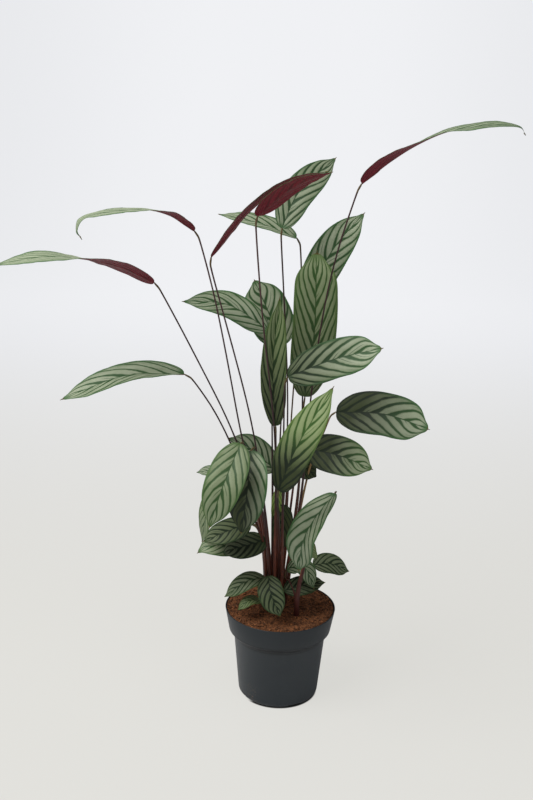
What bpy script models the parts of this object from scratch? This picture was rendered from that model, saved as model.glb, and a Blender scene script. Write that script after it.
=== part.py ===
"""A potted ctenanthe: a dark nursery pot, its soil, and a clump of striped leaves on long stalks.

Metres, +Z up. The origin is the middle of the pot's underside, and the plant's front looks along -Y.
Each leaf is a blade on a stalk, and each is its own object. Small leaves near the soil share a short
shoot. All the leaves are built from one table, LEAVES, which says where each midrib runs and where
the leaf's upper side looks.
"""

import math
from dataclasses import dataclass, field

import bpy
import bmesh
from mathutils import Euler, Vector
from mathutils.geometry import interpolate_bezier

# ---------------------------------------------------------------- driving dimensions
GAP = 0.0003  # clearance between pieces that touch

RIM_RADIUS = 0.105
POT_HEIGHT = 0.178
BAND_RADIUS = 0.0975  # bottom edge of the rim band
BAND_HEIGHT = 0.043
SHOULDER_HEIGHT = 0.012
BODY_RADIUS = 0.0875  # just under the shoulder
BASE_RADIUS = 0.077
WALL = 0.0018
FLOOR_THICKNESS = 0.0026
EDGE_ROUNDING = 0.010  # where the wall meets the underside
SHOULDER_BULGE = 0.003  # how far the shoulder swells out half-way up
CORNER = 0.002  # slope or chamfer at the profile's other corners
LIP_CHAMFER = 0.0007
POT_SEGMENTS = 40

CENTRE_PAD_RADIUS = 0.030  # flat middle of the underside
RECESS_DEPTH = 0.0014  # ring between the pad and the standing edge
STANDING_EDGE = 0.014
DRAIN_COUNT = 4
FIRST_DRAIN = 25  # degrees
DRAIN_WIDTH = 0.027
DRAIN_HEIGHT = 0.006
DRAIN_DEPTH = 0.026  # from the outer end of the cutter, which stands clear of the wall, inwards
DRAIN_CLEARANCE = 0.008  # how far the cutter stands out of the wall

SOIL_EDGE_DROP = 0.0035  # soil lies this far under the rim at the wall
SOIL_TOP = POT_HEIGHT - 0.001  # flat middle that the stalks stand on
SOIL_FLAT_RADIUS = 0.060

BLADE_THICKNESS = 0.0010
BLADE_STATIONS = (0, 0.02, 0.08, 0.20, 0.36, 0.53, 0.69, 0.83, 0.94, 1)
BLADE_COLUMNS = (-1, -0.5, 0, 0.5, 1)
WIDEST_AT = 0.42  # share of the length where the blade is widest
BLADE_END = 0.965  # past this share only the thin drip tip is left
NECK_HALF_WIDTH = 0.0014  # blade where it meets the stalk
TIP_HALF_WIDTH = 0.0006
MARGIN_DROOP = 0.10  # margins curve down by this share of the half width

STALK_SIDES = 6
STALK_FOOT_RADIUS = 0.0029
STALK_RADIUS = 0.0014
SHEATH_SHARE = 0.5  # share of the stalk over which the sheath tapers away
STALK_TAPER = 1.5  # above 1 the sheath narrows fastest near the soil, below 1 near its end
PULVINUS_LENGTH = 0.018  # swollen joint under the blade
PULVINUS_RADIUS = 0.0018
STALK_SPANS = 8
PULVINUS_SPANS = 3
SHOOT_RADIUS = 0.0057
SHOOT_TAPER = 0.7


@dataclass
class Leaf:
    """One leaf. spine runs along the midrib from the blade's base to its tip. faces says where the
    upper side looks, and folds how far each half rises from the midrib in degrees, both at evenly
    spaced places along the blade. foot is where the stalk leaves the soil and via are points that
    it passes on the way up."""

    name: str
    spine: list
    faces: list
    width: float
    foot: tuple = (0, 0)
    via: list = field(default_factory=list)
    folds: tuple = (8,)
    fullness: float = 2.6  # how far the width is kept towards the tip
    shoot: str = ""  # a small leaf's shared shoot, in place of its own stalk


LEAVES = [
    # The tall leaves that arch over the plant
    Leaf("top_right", [(0.117, 0.0, 0.981), (0.172, -0.01, 1.027), (0.24, -0.02, 1.067),
          (0.315, -0.03, 1.084), (0.368, -0.03, 1.084), (0.382, -0.03, 1.069)],
         [(-0.5, 0.6, 0.5), (-0.35, 0.15, 0.9), (0, -0.15, 1), (0, -0.25, 1)],
         0.062, (0.009, 0.005),
         [(0.034, -0.01, 0.42), (0.042, -0.02, 0.602), (0.068, -0.02, 0.823)], folds=(30, 12, 8, 6)),
    Leaf("top_front", [(-0.136, -0.06, 0.859), (-0.0735, -0.055, 0.939), (-0.0085, -0.05, 0.9875),
          (0.0556, -0.045, 1.0034)],
         [(-0.6, 0.3, 0.6), (-0.45, 0.2, 0.9)],
         0.050, (-0.0145, -0.002),
         [(-0.054, -0.02, 0.512), (-0.097, -0.04, 0.692), (-0.127, -0.055, 0.801)]),
    Leaf("top_mid", [(-0.059, -0.08, 0.932), (-0.0139, -0.105, 0.9745), (0.0205, -0.122, 0.9965),
          (0.0585, -0.13, 1.0105)],
         [(-0.35, 0.45, 0.6), (-0.35, 0.35, 0.8)],
         0.062, (-0.0125, -0.009), [(-0.019, -0.055, 0.53), (-0.045, -0.08, 0.74)], fullness=2.3),
    Leaf("top_back", [(-0.017, 0.03, 0.897), (0.009, 0.05, 0.955), (0.075, 0.08, 1.016)],
         [(-0.1, -0.95, 0.25)],
         0.058, (-0.009, 0.0115), [(0.004, 0.03, 0.53), (-0.011, 0.03, 0.783)]),
    Leaf("top_left", [(0.010, 0.10, 0.870), (-0.055, 0.08, 0.897), (-0.130, 0.06, 0.914)],
         [(0.2, -0.5, 0.8), (0.1, -0.3, 0.95)],
         0.050, (0.003, 0.0375), [(0.012, 0.09, 0.55), (0.025, 0.11, 0.80)], folds=(30, 5)),
    Leaf("upper_left", [(-0.170, 0.0, 0.893), (-0.223, -0.02, 0.926), (-0.282, -0.05, 0.931),
          (-0.361, -0.08, 0.913), (-0.351, -0.085, 0.887)],
         [(0.45, 0.5, 0.6), (0.1, 0.1, 0.95), (-0.1, -0.1, 1), (-0.9, -0.15, 0.5)],
         0.053, (-0.0225, 0.0045),
         [(-0.032, 0.006, 0.32), (-0.078, 0.01, 0.5), (-0.111, 0.003, 0.673),
          (-0.146, 0.0, 0.835)], folds=(28, 6, 8, 4), fullness=3.2),
    Leaf("low_arch_left", [(-0.242, 0.02, 0.796), (-0.298, 0.02, 0.821), (-0.362, 0.01, 0.836),
          (-0.433, -0.01, 0.842), (-0.518, -0.03, 0.827)],
         [(0.3, 0.75, 0.65), (0.1, 0.35, 0.9), (0, -0.2, 1), (-0.1, -0.35, 0.95)],
         0.061, (-0.0285, 0.008), [(-0.038, 0.012, 0.32), (-0.087, 0.02, 0.497), (-0.156, 0.02, 0.641)]),
    # The middle of the plant
    Leaf("left", [(-0.191, 0.06, 0.617), (-0.295, 0.04, 0.618), (-0.409, 0.0, 0.58)],
         [(0, -0.4, 0.9), (-0.1, -0.45, 0.85)],
         0.058, (-0.028, 0.0155),
         [(-0.040, 0.022, 0.32), (-0.101, 0.045, 0.488),
          (-0.153, 0.055, 0.583)], folds=(45, 20, 8), fullness=3.6),
    Leaf("inner_left", [(-0.037, 0.05, 0.708), (-0.11, 0.035, 0.756), (-0.19, 0.01, 0.765)],
         [(0, -0.75, 0.5), (0, -0.6, 0.7)],
         0.055, (-0.0155, 0.012)),
    Leaf("inner_back", [(-0.009, 0.08, 0.672), (-0.040, 0.09, 0.738), (-0.065, 0.10, 0.79)],
         [(0, -0.95, 0.3)],
         0.082, (-0.014, 0.0285), fullness=3.6),
    Leaf("inner_front", [(-0.019, -0.02, 0.548), (-0.027, -0.03, 0.66), (-0.018, -0.02, 0.783)],
         [(0.1, -1, 0.1)],
         0.052, (-0.006, 0.0), folds=(30,)),
    Leaf("tall", [(0.034, 0.04, 0.586), (0.046, 0.02, 0.71), (0.046, 0.035, 0.82), (0.047, 0.055, 0.853)],
         [(0.05, -1, 0.2), (0.05, -1, 0.3), (0, -0.8, 1)],
         0.080, (0.0005, 0.0185), fullness=7),
    Leaf("tall_back", [(0.030, 0.07, 0.76), (0.077, 0.08, 0.854), (0.131, 0.09, 0.919)],
         [(-0.1, -0.95, 0.2)],
         0.068, (0.007, 0.022), [(0.030, 0.045, 0.43)]),
    Leaf("right", [(-0.001, -0.10, 0.663), (0.076, -0.13, 0.704), (0.151, -0.16, 0.732)],
         [(-0.1, -0.85, 0.5)],
         0.068, (0.002, -0.009), fullness=4.4),
    Leaf("bright", [(-0.012, -0.14, 0.4699), (0.0171, -0.17, 0.5634), (0.0735, -0.16, 0.6639)],
         [(-0.3, -0.85, 0.35)],
         0.064, (-0.005, -0.009), [(-0.005, -0.022, 0.3)], fullness=2.4),
    Leaf("right_low", [(0.092, 0.02, 0.564), (0.180, 0.0, 0.568), (0.258, -0.02, 0.548)],
         [(0.05, -0.8, 0.55)],
         0.084, (0.010, 0.0145), [(0.047, 0.05, 0.44), (0.074, 0.045, 0.52)], fullness=5),
    Leaf("right_under", [(0.040, 0.01, 0.494), (0.099, -0.01, 0.490), (0.159, -0.03, 0.472)],
         [(0.1, -0.85, 0.5)],
         0.074, (0.003, 0.006), [(0.026, 0.008, 0.38)], fullness=3),
    Leaf("front_left", [(-0.079, -0.15, 0.557), (-0.106, -0.20, 0.497), (-0.127, -0.21, 0.427)],
         [(-0.1, -0.9, 0.3)],
         0.066, (-0.021, -0.0025), [(-0.034, -0.020, 0.35), (-0.062, -0.075, 0.5)]),
    Leaf("front_left_dark", [(-0.062, -0.11, 0.530), (-0.0646, -0.15, 0.4843), (-0.0748, -0.15, 0.3912)],
         [(-0.25, -0.9, 0.2)],
         0.070, (-0.018, -0.0105), [(-0.031, -0.048, 0.35), (-0.048, -0.088, 0.525)]),
    # The low leaves on the left and behind
    Leaf("left_back", [(-0.017, 0.06, 0.432), (-0.062, 0.065, 0.471), (-0.106, 0.07, 0.491)],
         [(0, -0.8, 0.6)],
         0.058, shoot="back_shoot"),
    Leaf("dark_low", [(-0.001, 0.066, 0.342), (0.0023, 0.088, 0.301), (0.0135, 0.09, 0.255)],
         [(0.1, -0.8, 0.3), (0.1, -1, 0.1)],
         0.046, shoot="back_shoot"),
    Leaf("left_low", [(-0.0345, -0.022, 0.3215), (-0.0933, -0.045, 0.3242), (-0.1402, -0.06, 0.3236),
          (-0.1556, -0.062, 0.3122)],
         [(0, -0.6, 0.8)],
         0.052, (-0.0335, -0.004), fullness=3.2),
    Leaf("left_low_front", [(-0.061, -0.06, 0.373), (-0.101, -0.08, 0.365), (-0.143, -0.10, 0.353)],
         [(-0.1, -0.7, 0.6)],
         0.046, (-0.0265, -0.0105), [(-0.036, -0.038, 0.330)]),
    Leaf("left_edge", [(-0.127, -0.04, 0.449), (-0.141, -0.06, 0.390), (-0.1485, -0.045, 0.327)],
         [(-0.75, -0.6, 0.2)],
         0.040, (-0.0295, 0.001), [(-0.042, -0.006, 0.33), (-0.103, -0.030, 0.452)]),
    Leaf("left_tip", [(-0.105, 0.04, 0.424), (-0.137, 0.045, 0.433), (-0.165, 0.045, 0.429)],
         [(0, -0.6, 0.8)],
         0.026, (-0.024, 0.022), [(-0.037, 0.032, 0.32)]),
    # The small leaves on short shoots near the soil
    Leaf("front_right", [(0.0887, -0.078, 0.4424), (0.0537, -0.105, 0.4047), (0.0346, -0.112, 0.364),
          (0.0292, -0.1, 0.2996)],
         [(-0.83, -0.38, 0.40), (-0.78, -0.48, 0.40), (-0.35, -0.9, 0.1)],
         0.080, via=[(0.031, -0.045, 0.23), (0.0398, -0.044, 0.2781), (0.064, -0.046, 0.3531),
                     (0.089, -0.046, 0.4247)],
         folds=(16,), shoot="front_right_shoot"),
    Leaf("small_right", [(0.060, 0.0, 0.265), (0.094, 0.01, 0.264), (0.130, 0.02, 0.244)],
         [(0, -0.5, 0.85)],
         0.048, via=[(0.031, -0.045, 0.23)], shoot="front_right_shoot"),
    Leaf("small_mid", [(0.0104, -0.010, 0.260), (0.040, -0.020, 0.2717), (0.0615, -0.036, 0.2337)],
         [(0.1, -0.6, 0.75), (0.3, -0.7, 0.6)],
         0.036, via=[(0.0275, -0.037, 0.215), (0.013, -0.018, 0.243)], shoot="front_right_shoot"),
    Leaf("small_low_right", [(0.006, -0.022, 0.2205), (0.040, -0.013, 0.228), (0.083, -0.015, 0.2365)],
         [(0, -0.5, 0.85)],
         0.044, shoot="front_shoot"),
    Leaf("front_small", [(-0.025, -0.04, 0.259), (-0.019, -0.07, 0.237), (-0.001, -0.08, 0.197)],
         [(-0.1, -0.8, 0.5)],
         0.048, shoot="front_shoot"),
    Leaf("front_small_left", [(-0.031, -0.03, 0.250), (-0.063, -0.045, 0.251), (-0.105, -0.05, 0.219)],
         [(-0.1, -0.5, 0.8)],
         0.039, shoot="front_shoot"),
    Leaf("front_tiny", [(-0.037, -0.04, 0.208), (-0.058, -0.055, 0.216), (-0.08, -0.065, 0.2)],
         [(-0.1, -0.5, 0.8)],
         0.023, shoot="front_shoot"),
]

SHOOT_FEET = {
    "front_right_shoot": (0.030, -0.036),
    "front_shoot": (-0.017, -0.0245),
    "back_shoot": (-0.006, 0.0365),
}

COLOURS = {
    "pot": (0.030, 0.036, 0.042),
    "soil": (0.085, 0.036, 0.020),
    "blade": (0.150, 0.230, 0.130),
    "stalk": (0.090, 0.030, 0.026),
}
ROUGHNESS = {"pot": 0.5, "soil": 0.95, "blade": 0.45, "stalk": 0.4}


# ---------------------------------------------------------------- helpers
def material(kind):
    """The plain material of one kind of piece, made once."""
    made = bpy.data.materials.get(kind)
    if made:
        return made
    made = bpy.data.materials.new(kind)
    made.use_nodes = True
    shader = made.node_tree.nodes["Principled BSDF"]
    shader.inputs["Base Color"].default_value = (*COLOURS[kind], 1)
    shader.inputs["Roughness"].default_value = ROUGHNESS[kind]
    shader.inputs["Metallic"].default_value = 0
    return made


def add_object(name, mesh, kind):
    obj = bpy.data.objects.new(name, mesh)
    bpy.context.scene.collection.objects.link(obj)
    mesh.materials.append(material(kind))
    mesh.shade_smooth()
    return obj


def mesh_from(name, points, faces):
    """A mesh whose faces are made to point outwards."""
    mesh = bpy.data.meshes.new(name)
    mesh.from_pydata([tuple(p) for p in points], [], faces)
    shape = bmesh.new()
    shape.from_mesh(mesh)
    bmesh.ops.recalc_face_normals(shape, faces=shape.faces)
    shape.to_mesh(mesh)
    shape.free()
    return mesh


def ways_along(points):
    """Unit directions of travel at each of the points."""
    last = len(points) - 1
    return [(points[min(i + 1, last)] - points[max(i - 1, 0)]).normalized() for i in range(last + 1)]


def along(points, shares, start_way=None):
    """Points at shares of the length of a smooth curve through the given points."""
    ways = ways_along(points)
    ways[0] = start_way or ways[0]
    dense = [points[0]]
    for i in range(len(points) - 1):
        reach = (points[i + 1] - points[i]).length / 3
        dense += interpolate_bezier(points[i], points[i] + ways[i] * reach,
                                    points[i + 1] - ways[i + 1] * reach, points[i + 1], 40)[1:]
    travelled = [0.0]
    for a, b in zip(dense, dense[1:]):
        travelled.append(travelled[-1] + (b - a).length)
    found = []
    for share in shares:
        want = share * travelled[-1]
        k = next((i for i in range(1, len(dense)) if travelled[i] >= want), len(dense) - 1)
        part = (want - travelled[k - 1]) / (travelled[k] - travelled[k - 1])
        found.append(dense[k - 1].lerp(dense[k], part))
    return found


def blend(values, share):
    """The value at a share of the way through a list of evenly spaced values."""
    at = share * (len(values) - 1)
    i = min(int(at), max(len(values) - 2, 0))
    return values[i] + (values[min(i + 1, len(values) - 1)] - values[i]) * (at - i)


# ---------------------------------------------------------------- pot and soil
def spun(name, profile, segments):
    """A solid turned about Z from a profile of (radius, height) pairs that starts and ends on the axis."""
    points = [Vector((0, 0, profile[0][1]))]
    faces = []
    rings = profile[1:-1]
    for radius, height in rings:
        for k in range(segments):
            angle = 2 * math.pi * k / segments
            points.append(Vector((radius * math.cos(angle), radius * math.sin(angle), height)))
    points.append(Vector((0, 0, profile[-1][1])))
    last = len(points) - 1
    for k in range(segments):
        nxt = (k + 1) % segments
        faces.append((0, 1 + k, 1 + nxt))
        for ring in range(len(rings) - 1):
            low, high = 1 + ring * segments, 1 + (ring + 1) * segments
            faces.append((low + k, low + nxt, high + nxt, high + k))
        top = 1 + (len(rings) - 1) * segments
        faces.append((top + k, top + nxt, last))
    return mesh_from(name, points, faces)


def pot_outside():
    """Outer profile of the pot, from the centre of the underside up to the rim."""
    shoulder_top = POT_HEIGHT - BAND_HEIGHT
    recess_out = BASE_RADIUS - STANDING_EDGE
    return [
        (0, 0), (CENTRE_PAD_RADIUS, 0), (CENTRE_PAD_RADIUS + CORNER, RECESS_DEPTH),
        (recess_out - CORNER, RECESS_DEPTH), (recess_out, 0), (BASE_RADIUS - EDGE_ROUNDING, 0),
        (BASE_RADIUS - EDGE_ROUNDING * 0.3, EDGE_ROUNDING * 0.3), (BASE_RADIUS, EDGE_ROUNDING),
        (BODY_RADIUS, shoulder_top - SHOULDER_HEIGHT),
        (BODY_RADIUS + SHOULDER_BULGE, shoulder_top - SHOULDER_HEIGHT / 2),
        (BAND_RADIUS - CORNER, shoulder_top - CORNER), (BAND_RADIUS, shoulder_top + CORNER / 2),
        (RIM_RADIUS, POT_HEIGHT - LIP_CHAMFER), (RIM_RADIUS - LIP_CHAMFER, POT_HEIGHT),
    ]


def pot_inside(shrink=0.0):
    """Inner profile, from the rim down to the floor. shrink moves it inwards, for what fills the pot."""
    shoulder_top = POT_HEIGHT - BAND_HEIGHT
    return [
        (RIM_RADIUS - WALL - shrink, POT_HEIGHT),
        (BAND_RADIUS - WALL - shrink, shoulder_top + shrink),
        (BODY_RADIUS - WALL - shrink, shoulder_top - SHOULDER_HEIGHT + CORNER + shrink),
        (BASE_RADIUS - WALL - shrink, FLOOR_THICKNESS + EDGE_ROUNDING + shrink),
        (BASE_RADIUS - WALL - EDGE_ROUNDING * 0.3 - shrink,
         FLOOR_THICKNESS + RECESS_DEPTH + EDGE_ROUNDING * 0.3 + shrink),
        (BASE_RADIUS - WALL - EDGE_ROUNDING - shrink, FLOOR_THICKNESS + RECESS_DEPTH + shrink),
        (0, FLOOR_THICKNESS + RECESS_DEPTH + shrink),
    ]


def drain_cutter():
    """One mesh of all the drain slots, cut through the foot of the wall and in under the floor."""
    shape = bmesh.new()
    for k in range(DRAIN_COUNT):
        angle = math.radians(FIRST_DRAIN + 360 * k / DRAIN_COUNT)
        made = bmesh.ops.create_cube(shape, size=1)["verts"]
        middle = BASE_RADIUS + DRAIN_CLEARANCE - DRAIN_DEPTH / 2
        for v in made:
            v.co = Vector((v.co.x * DRAIN_DEPTH + middle, v.co.y * DRAIN_WIDTH, v.co.z * DRAIN_HEIGHT * 2))
            v.co.rotate(Euler((0, 0, angle)))
    mesh = bpy.data.meshes.new("drain_cutter")
    shape.to_mesh(mesh)
    shape.free()
    cutter = add_object("drain_cutter", mesh, "pot")
    cutter.hide_render = True
    cutter.display_type = "WIRE"
    return cutter


def build_pot():
    pot = add_object("pot", spun("pot", pot_outside() + pot_inside(), POT_SEGMENTS), "pot")
    pot.data.set_sharp_from_angle(angle=math.radians(30))
    cut = pot.modifiers.new("drains", "BOOLEAN")
    cut.operation = "DIFFERENCE"
    cut.object = drain_cutter()
    return pot


def build_soil():
    """Fills the pot. Its flat middle is where the stalks stand."""
    wall, band, *below = pot_inside(GAP)
    down = SOIL_EDGE_DROP / (wall[1] - band[1])
    edge = wall[0] + (band[0] - wall[0]) * down
    profile = [*below[::-1], band, (edge, POT_HEIGHT - SOIL_EDGE_DROP),
               (SOIL_FLAT_RADIUS + 0.018, SOIL_TOP - 0.0008), (SOIL_FLAT_RADIUS, SOIL_TOP), (0, SOIL_TOP)]
    return add_object("soil", spun("soil", profile, POT_SEGMENTS), "soil")


# ---------------------------------------------------------------- leaves
def blade_half_width(share, leaf):
    """Half width of a blade at a share of its length: a round base, then a point with a drip tip."""
    if share <= WIDEST_AT:
        grown = (1 - (1 - share / WIDEST_AT) ** 2.4) ** 0.5
    else:
        beyond = min((share - WIDEST_AT) / (BLADE_END - WIDEST_AT), 1)
        grown = (1 - beyond ** leaf.fullness) ** 0.8
    least = NECK_HALF_WIDTH if share < WIDEST_AT else TIP_HALF_WIDTH
    return max(leaf.width / 2 * grown, least)


def blade_line(leaf):
    """The midrib's point and direction at each station."""
    points = along([Vector(p) for p in leaf.spine], BLADE_STATIONS)
    return points, ways_along(points)


def build_blade(leaf):
    looks = [Vector(f).normalized() for f in leaf.faces]
    upper, lower = [], []
    for share, point, way in zip(BLADE_STATIONS, *blade_line(leaf)):
        look = blend(looks, share)
        normal = (look - way * look.dot(way)).normalized()
        across = way.cross(normal)
        fold = math.radians(blend(leaf.folds, share))
        half = blade_half_width(share, leaf)
        for column in BLADE_COLUMNS:
            rise = abs(column) * math.sin(fold) - MARGIN_DROOP * column * column
            middle = point + across * (column * half * math.cos(fold)) + normal * (rise * half)
            upper.append(middle + normal * BLADE_THICKNESS / 2)
            lower.append(middle - normal * BLADE_THICKNESS / 2)
    columns, rows, under = len(BLADE_COLUMNS), len(BLADE_STATIONS), len(upper)
    faces = []
    for r in range(rows - 1):
        for c in range(columns - 1):
            a, b = r * columns + c, r * columns + c + 1
            faces.append((a, b, b + columns, a + columns))
            faces.append((under + a, under + a + columns, under + b + columns, under + b))
        for a in (r * columns, r * columns + columns - 1):
            faces.append((a, a + columns, under + a + columns, under + a))
    for row in (0, rows - 1):
        for c in range(columns - 1):
            a = row * columns + c
            faces.append((a, a + 1, under + a + 1, under + a))
    return add_object(f"blade_{leaf.name}", mesh_from(f"blade_{leaf.name}", upper + lower, faces), "blade")


def stalk_tube(name, leaf, foot, foot_radius, taper):
    """A stalk from its foot to just under the blade. The sheath tapers up into the thin stalk,
    which swells again at the joint under the blade."""
    points, ways = blade_line(leaf)
    into = ways[0]
    collar = points[0] - into * GAP
    foot = Vector((*foot, SOIL_TOP + GAP))
    route = [foot, *(Vector(p) for p in leaf.via)]
    arriving = (collar - route[-1]).normalized()
    neck = collar - (into * 0.6 + arriving * 1.4).normalized() * PULVINUS_LENGTH
    route += [neck, collar]
    up = (Vector((0, 0, 1)) + (route[1] - foot).normalized()).normalized()
    length = sum((b - a).length for a, b in zip(route, route[1:]))
    neck_share = 1 - PULVINUS_LENGTH / length
    shares = [neck_share * k / STALK_SPANS for k in range(STALK_SPANS)]
    shares += [neck_share + (1 - neck_share) * k / PULVINUS_SPANS for k in range(PULVINUS_SPANS + 1)]
    radii = []
    for share in shares:
        sheath = max(0, 1 - share / SHEATH_SHARE) ** taper
        radii.append(STALK_RADIUS + (foot_radius - STALK_RADIUS) * sheath)
    radii[-PULVINUS_SPANS:] = [PULVINUS_RADIUS] * (PULVINUS_SPANS - 1) + [STALK_RADIUS * 0.9]
    return tube(name, along(route, shares, up), radii, into)


def tube(name, points, radii, last_way):
    """A closed tube of STALK_SIDES sides through the points. Its first end is level."""
    ways = ways_along(points)
    ways[0], ways[-1] = Vector((0, 0, 1)), last_way
    across = Vector((1, 0, 0))
    verts = []
    for point, way, radius in zip(points, ways, radii):
        across = (across - way * across.dot(way)).normalized()
        other = way.cross(across)
        for side in range(STALK_SIDES):
            angle = 2 * math.pi * side / STALK_SIDES
            verts.append(point + (across * math.cos(angle) + other * math.sin(angle)) * radius)
    faces = [tuple(range(STALK_SIDES)), tuple(range(len(verts) - STALK_SIDES, len(verts)))]
    for r in range(len(points) - 1):
        for side in range(STALK_SIDES):
            a, b = r * STALK_SIDES + side, r * STALK_SIDES + (side + 1) % STALK_SIDES
            faces.append((a, b, b + STALK_SIDES, a + STALK_SIDES))
    return mesh_from(name, verts, faces)


def build_stalk(leaf):
    name = f"stalk_{leaf.name}"
    return add_object(name, stalk_tube(name, leaf, leaf.foot, STALK_FOOT_RADIUS, STALK_TAPER), "stalk")


def build_shoot(name):
    """A short shoot whose leaf stalks leave one sheath: tubes joined into one solid."""
    foot = SHOOT_FEET[name]
    first, *others = [leaf for leaf in LEAVES if leaf.shoot == name]
    shoot = add_object(name, stalk_tube(name, first, foot, SHOOT_RADIUS, SHOOT_TAPER), "stalk")
    for leaf in others:
        branch_name = f"{name}_{leaf.name}"
        branch = add_object(branch_name, stalk_tube(branch_name, leaf, foot, SHOOT_RADIUS, SHOOT_TAPER),
                            "stalk")
        branch.hide_render = True
        branch.display_type = "WIRE"
        join = shoot.modifiers.new(leaf.name, "BOOLEAN")
        join.operation = "UNION"
        join.object = branch
    return shoot


def main():
    for obj in list(bpy.data.objects):
        bpy.data.objects.remove(obj)
    build_pot()
    build_soil()
    for leaf in LEAVES:
        build_blade(leaf)
        if not leaf.shoot:
            build_stalk(leaf)
    for name in SHOOT_FEET:
        build_shoot(name)


main()
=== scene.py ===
# %% [markdown]
# # A potted ctenanthe
# A ctenanthe is a foliage plant with long thin stalks. Each stalk carries one blade: silver green with
# dark herringbone stripes on top, burgundy underneath. This file is a lesson in cells. The fixed frame
# gives every leaf's real place as a coarse blade and a six-sided stalk. The cells below model one flat
# blade, bend a copy of it onto each coarse blade, round the stalks, heap the soil and turn the pot, and
# then give each its finish.

# %% The frame
import math
import random

import bmesh
import bpy
from mathutils import Matrix, Vector
from mathutils.bvhtree import BVHTree


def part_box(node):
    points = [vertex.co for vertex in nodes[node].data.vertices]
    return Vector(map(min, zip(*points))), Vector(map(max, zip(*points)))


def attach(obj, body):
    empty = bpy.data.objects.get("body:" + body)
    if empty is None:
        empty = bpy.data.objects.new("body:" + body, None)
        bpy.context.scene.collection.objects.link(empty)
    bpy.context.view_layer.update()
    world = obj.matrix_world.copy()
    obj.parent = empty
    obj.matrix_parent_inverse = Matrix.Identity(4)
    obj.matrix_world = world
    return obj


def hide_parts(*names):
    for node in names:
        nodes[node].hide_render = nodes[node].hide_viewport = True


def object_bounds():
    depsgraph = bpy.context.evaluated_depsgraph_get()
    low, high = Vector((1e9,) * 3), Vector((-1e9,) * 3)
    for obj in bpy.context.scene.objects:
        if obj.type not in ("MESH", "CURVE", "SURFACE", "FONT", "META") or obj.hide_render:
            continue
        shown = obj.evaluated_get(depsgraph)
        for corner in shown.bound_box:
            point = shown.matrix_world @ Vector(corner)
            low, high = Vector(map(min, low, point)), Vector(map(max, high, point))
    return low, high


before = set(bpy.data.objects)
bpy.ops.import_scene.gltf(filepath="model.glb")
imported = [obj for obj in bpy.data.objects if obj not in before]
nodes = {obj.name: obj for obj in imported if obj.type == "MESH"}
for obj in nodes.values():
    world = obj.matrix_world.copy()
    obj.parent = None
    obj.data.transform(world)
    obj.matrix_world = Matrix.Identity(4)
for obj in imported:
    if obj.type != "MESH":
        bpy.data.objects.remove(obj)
cad_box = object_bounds()
leaf_names = sorted(name[len("blade_"):] for name in nodes if name.startswith("blade_"))
print(len(nodes), "nodes,", len(leaf_names), "of them leaf blades")

# %% [markdown]
# ## The camera
# The plant is seen from a little above its top leaves with a normal lens, so the camera looks down by
# 17 degrees. It leans by a degree and a half, as a hand-held camera does. The sensor width belongs to
# the picture's long side, which is upright here.

# %% Camera
CAMERA_PLACE = (-0.0367, -1.9243, 1.1778)
LOOKS_DOWN, LEANS = 17, 1.5  # degrees

bpy.ops.object.camera_add(location=CAMERA_PLACE)
camera = bpy.context.object
camera.data.lens = 50
camera.data.sensor_width = 36
camera.rotation_mode = "ZYX"
camera.rotation_euler = (math.radians(90 - LOOKS_DOWN), 0, math.radians(LEANS))
bpy.context.scene.camera = camera
bpy.context.scene.view_settings.view_transform = "Standard"
print("camera at", CAMERA_PLACE, "with a lens of", camera.data.lens, "mm")

# %% [markdown]
# ## Small helpers
# Operators act on whatever is selected, so each step first selects only its own piece. A modifier is
# added, set and applied in one go, which leaves plain meshes behind.

# %% Selecting and applying
def select_only(piece):
    bpy.ops.object.select_all(action="DESELECT")
    piece.hide_set(False)
    piece.select_set(True)
    bpy.context.view_layer.objects.active = piece


def apply_modifier(piece, kind, **settings):
    select_only(piece)
    modifier = piece.modifiers.new(kind.title(), kind)
    for setting, value in settings.items():
        setattr(modifier, setting, value)
    bpy.ops.object.modifier_apply(modifier=modifier.name)


def copy_of(piece, name):
    """A copy with its own mesh."""
    made = piece.copy()
    made.data = piece.data.copy()
    made.name = made.data.name = name
    made.hide_render = made.hide_viewport = False
    bpy.context.scene.collection.objects.link(made)
    return made


def merged_copy(node, name):
    """A copy of a frame node whose loose triangles are joined into one closed skin."""
    made = copy_of(nodes[node], name)
    made.parent = None
    for tag in list(made.keys()):  # the frame's own tags stay with the node
        del made[tag]
    select_only(made)
    bpy.ops.object.mode_set(mode="EDIT")
    bpy.ops.mesh.select_all(action="SELECT")
    bpy.ops.mesh.remove_doubles(threshold=1e-5)
    bpy.ops.object.mode_set(mode="OBJECT")
    made.data.materials.clear()
    return made


def stands_for(piece, slot, *replaced):
    """Hands a finished piece to the frame, with the nodes that it replaces, if any."""
    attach(piece, "root")
    if replaced:
        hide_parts(*replaced)


def fill_attribute(piece, name, values):
    """Stores one number for each point, for materials to read."""
    attribute = piece.data.attributes.new(name, "FLOAT", "POINT")
    attribute.data.foreach_set("value", values)


# %% [markdown]
# ## Reading a blade from the frame
# The coarse blade is a thin box of ten rows by five columns of points, but its points come in no
# order. Edges as long as the blade is thick run round its rim like rungs. The rungs stand closest at
# the two ends: 0.3 mm apart at the tip, 0.7 mm at the neck. From there the rows and columns are found
# by counting steps from point to point. The halves of a blade rise from its midrib, which tells the
# upper side from the lower.

# %% Finding the rungs
ROWS, COLUMNS = 10, 5
MIDRIB = COLUMNS // 2  # the column that lies along the midrib
MIDWAY = ROWS // 2  # the row half-way along the blade
COARSE_THICKNESS = 0.001
THICKNESS_SLACK = 5e-6
TIP_RUNGS_APART = 0.00045  # rungs at the tip stand closer than this
NECK_RUNGS_APART = 0.0009


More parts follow.
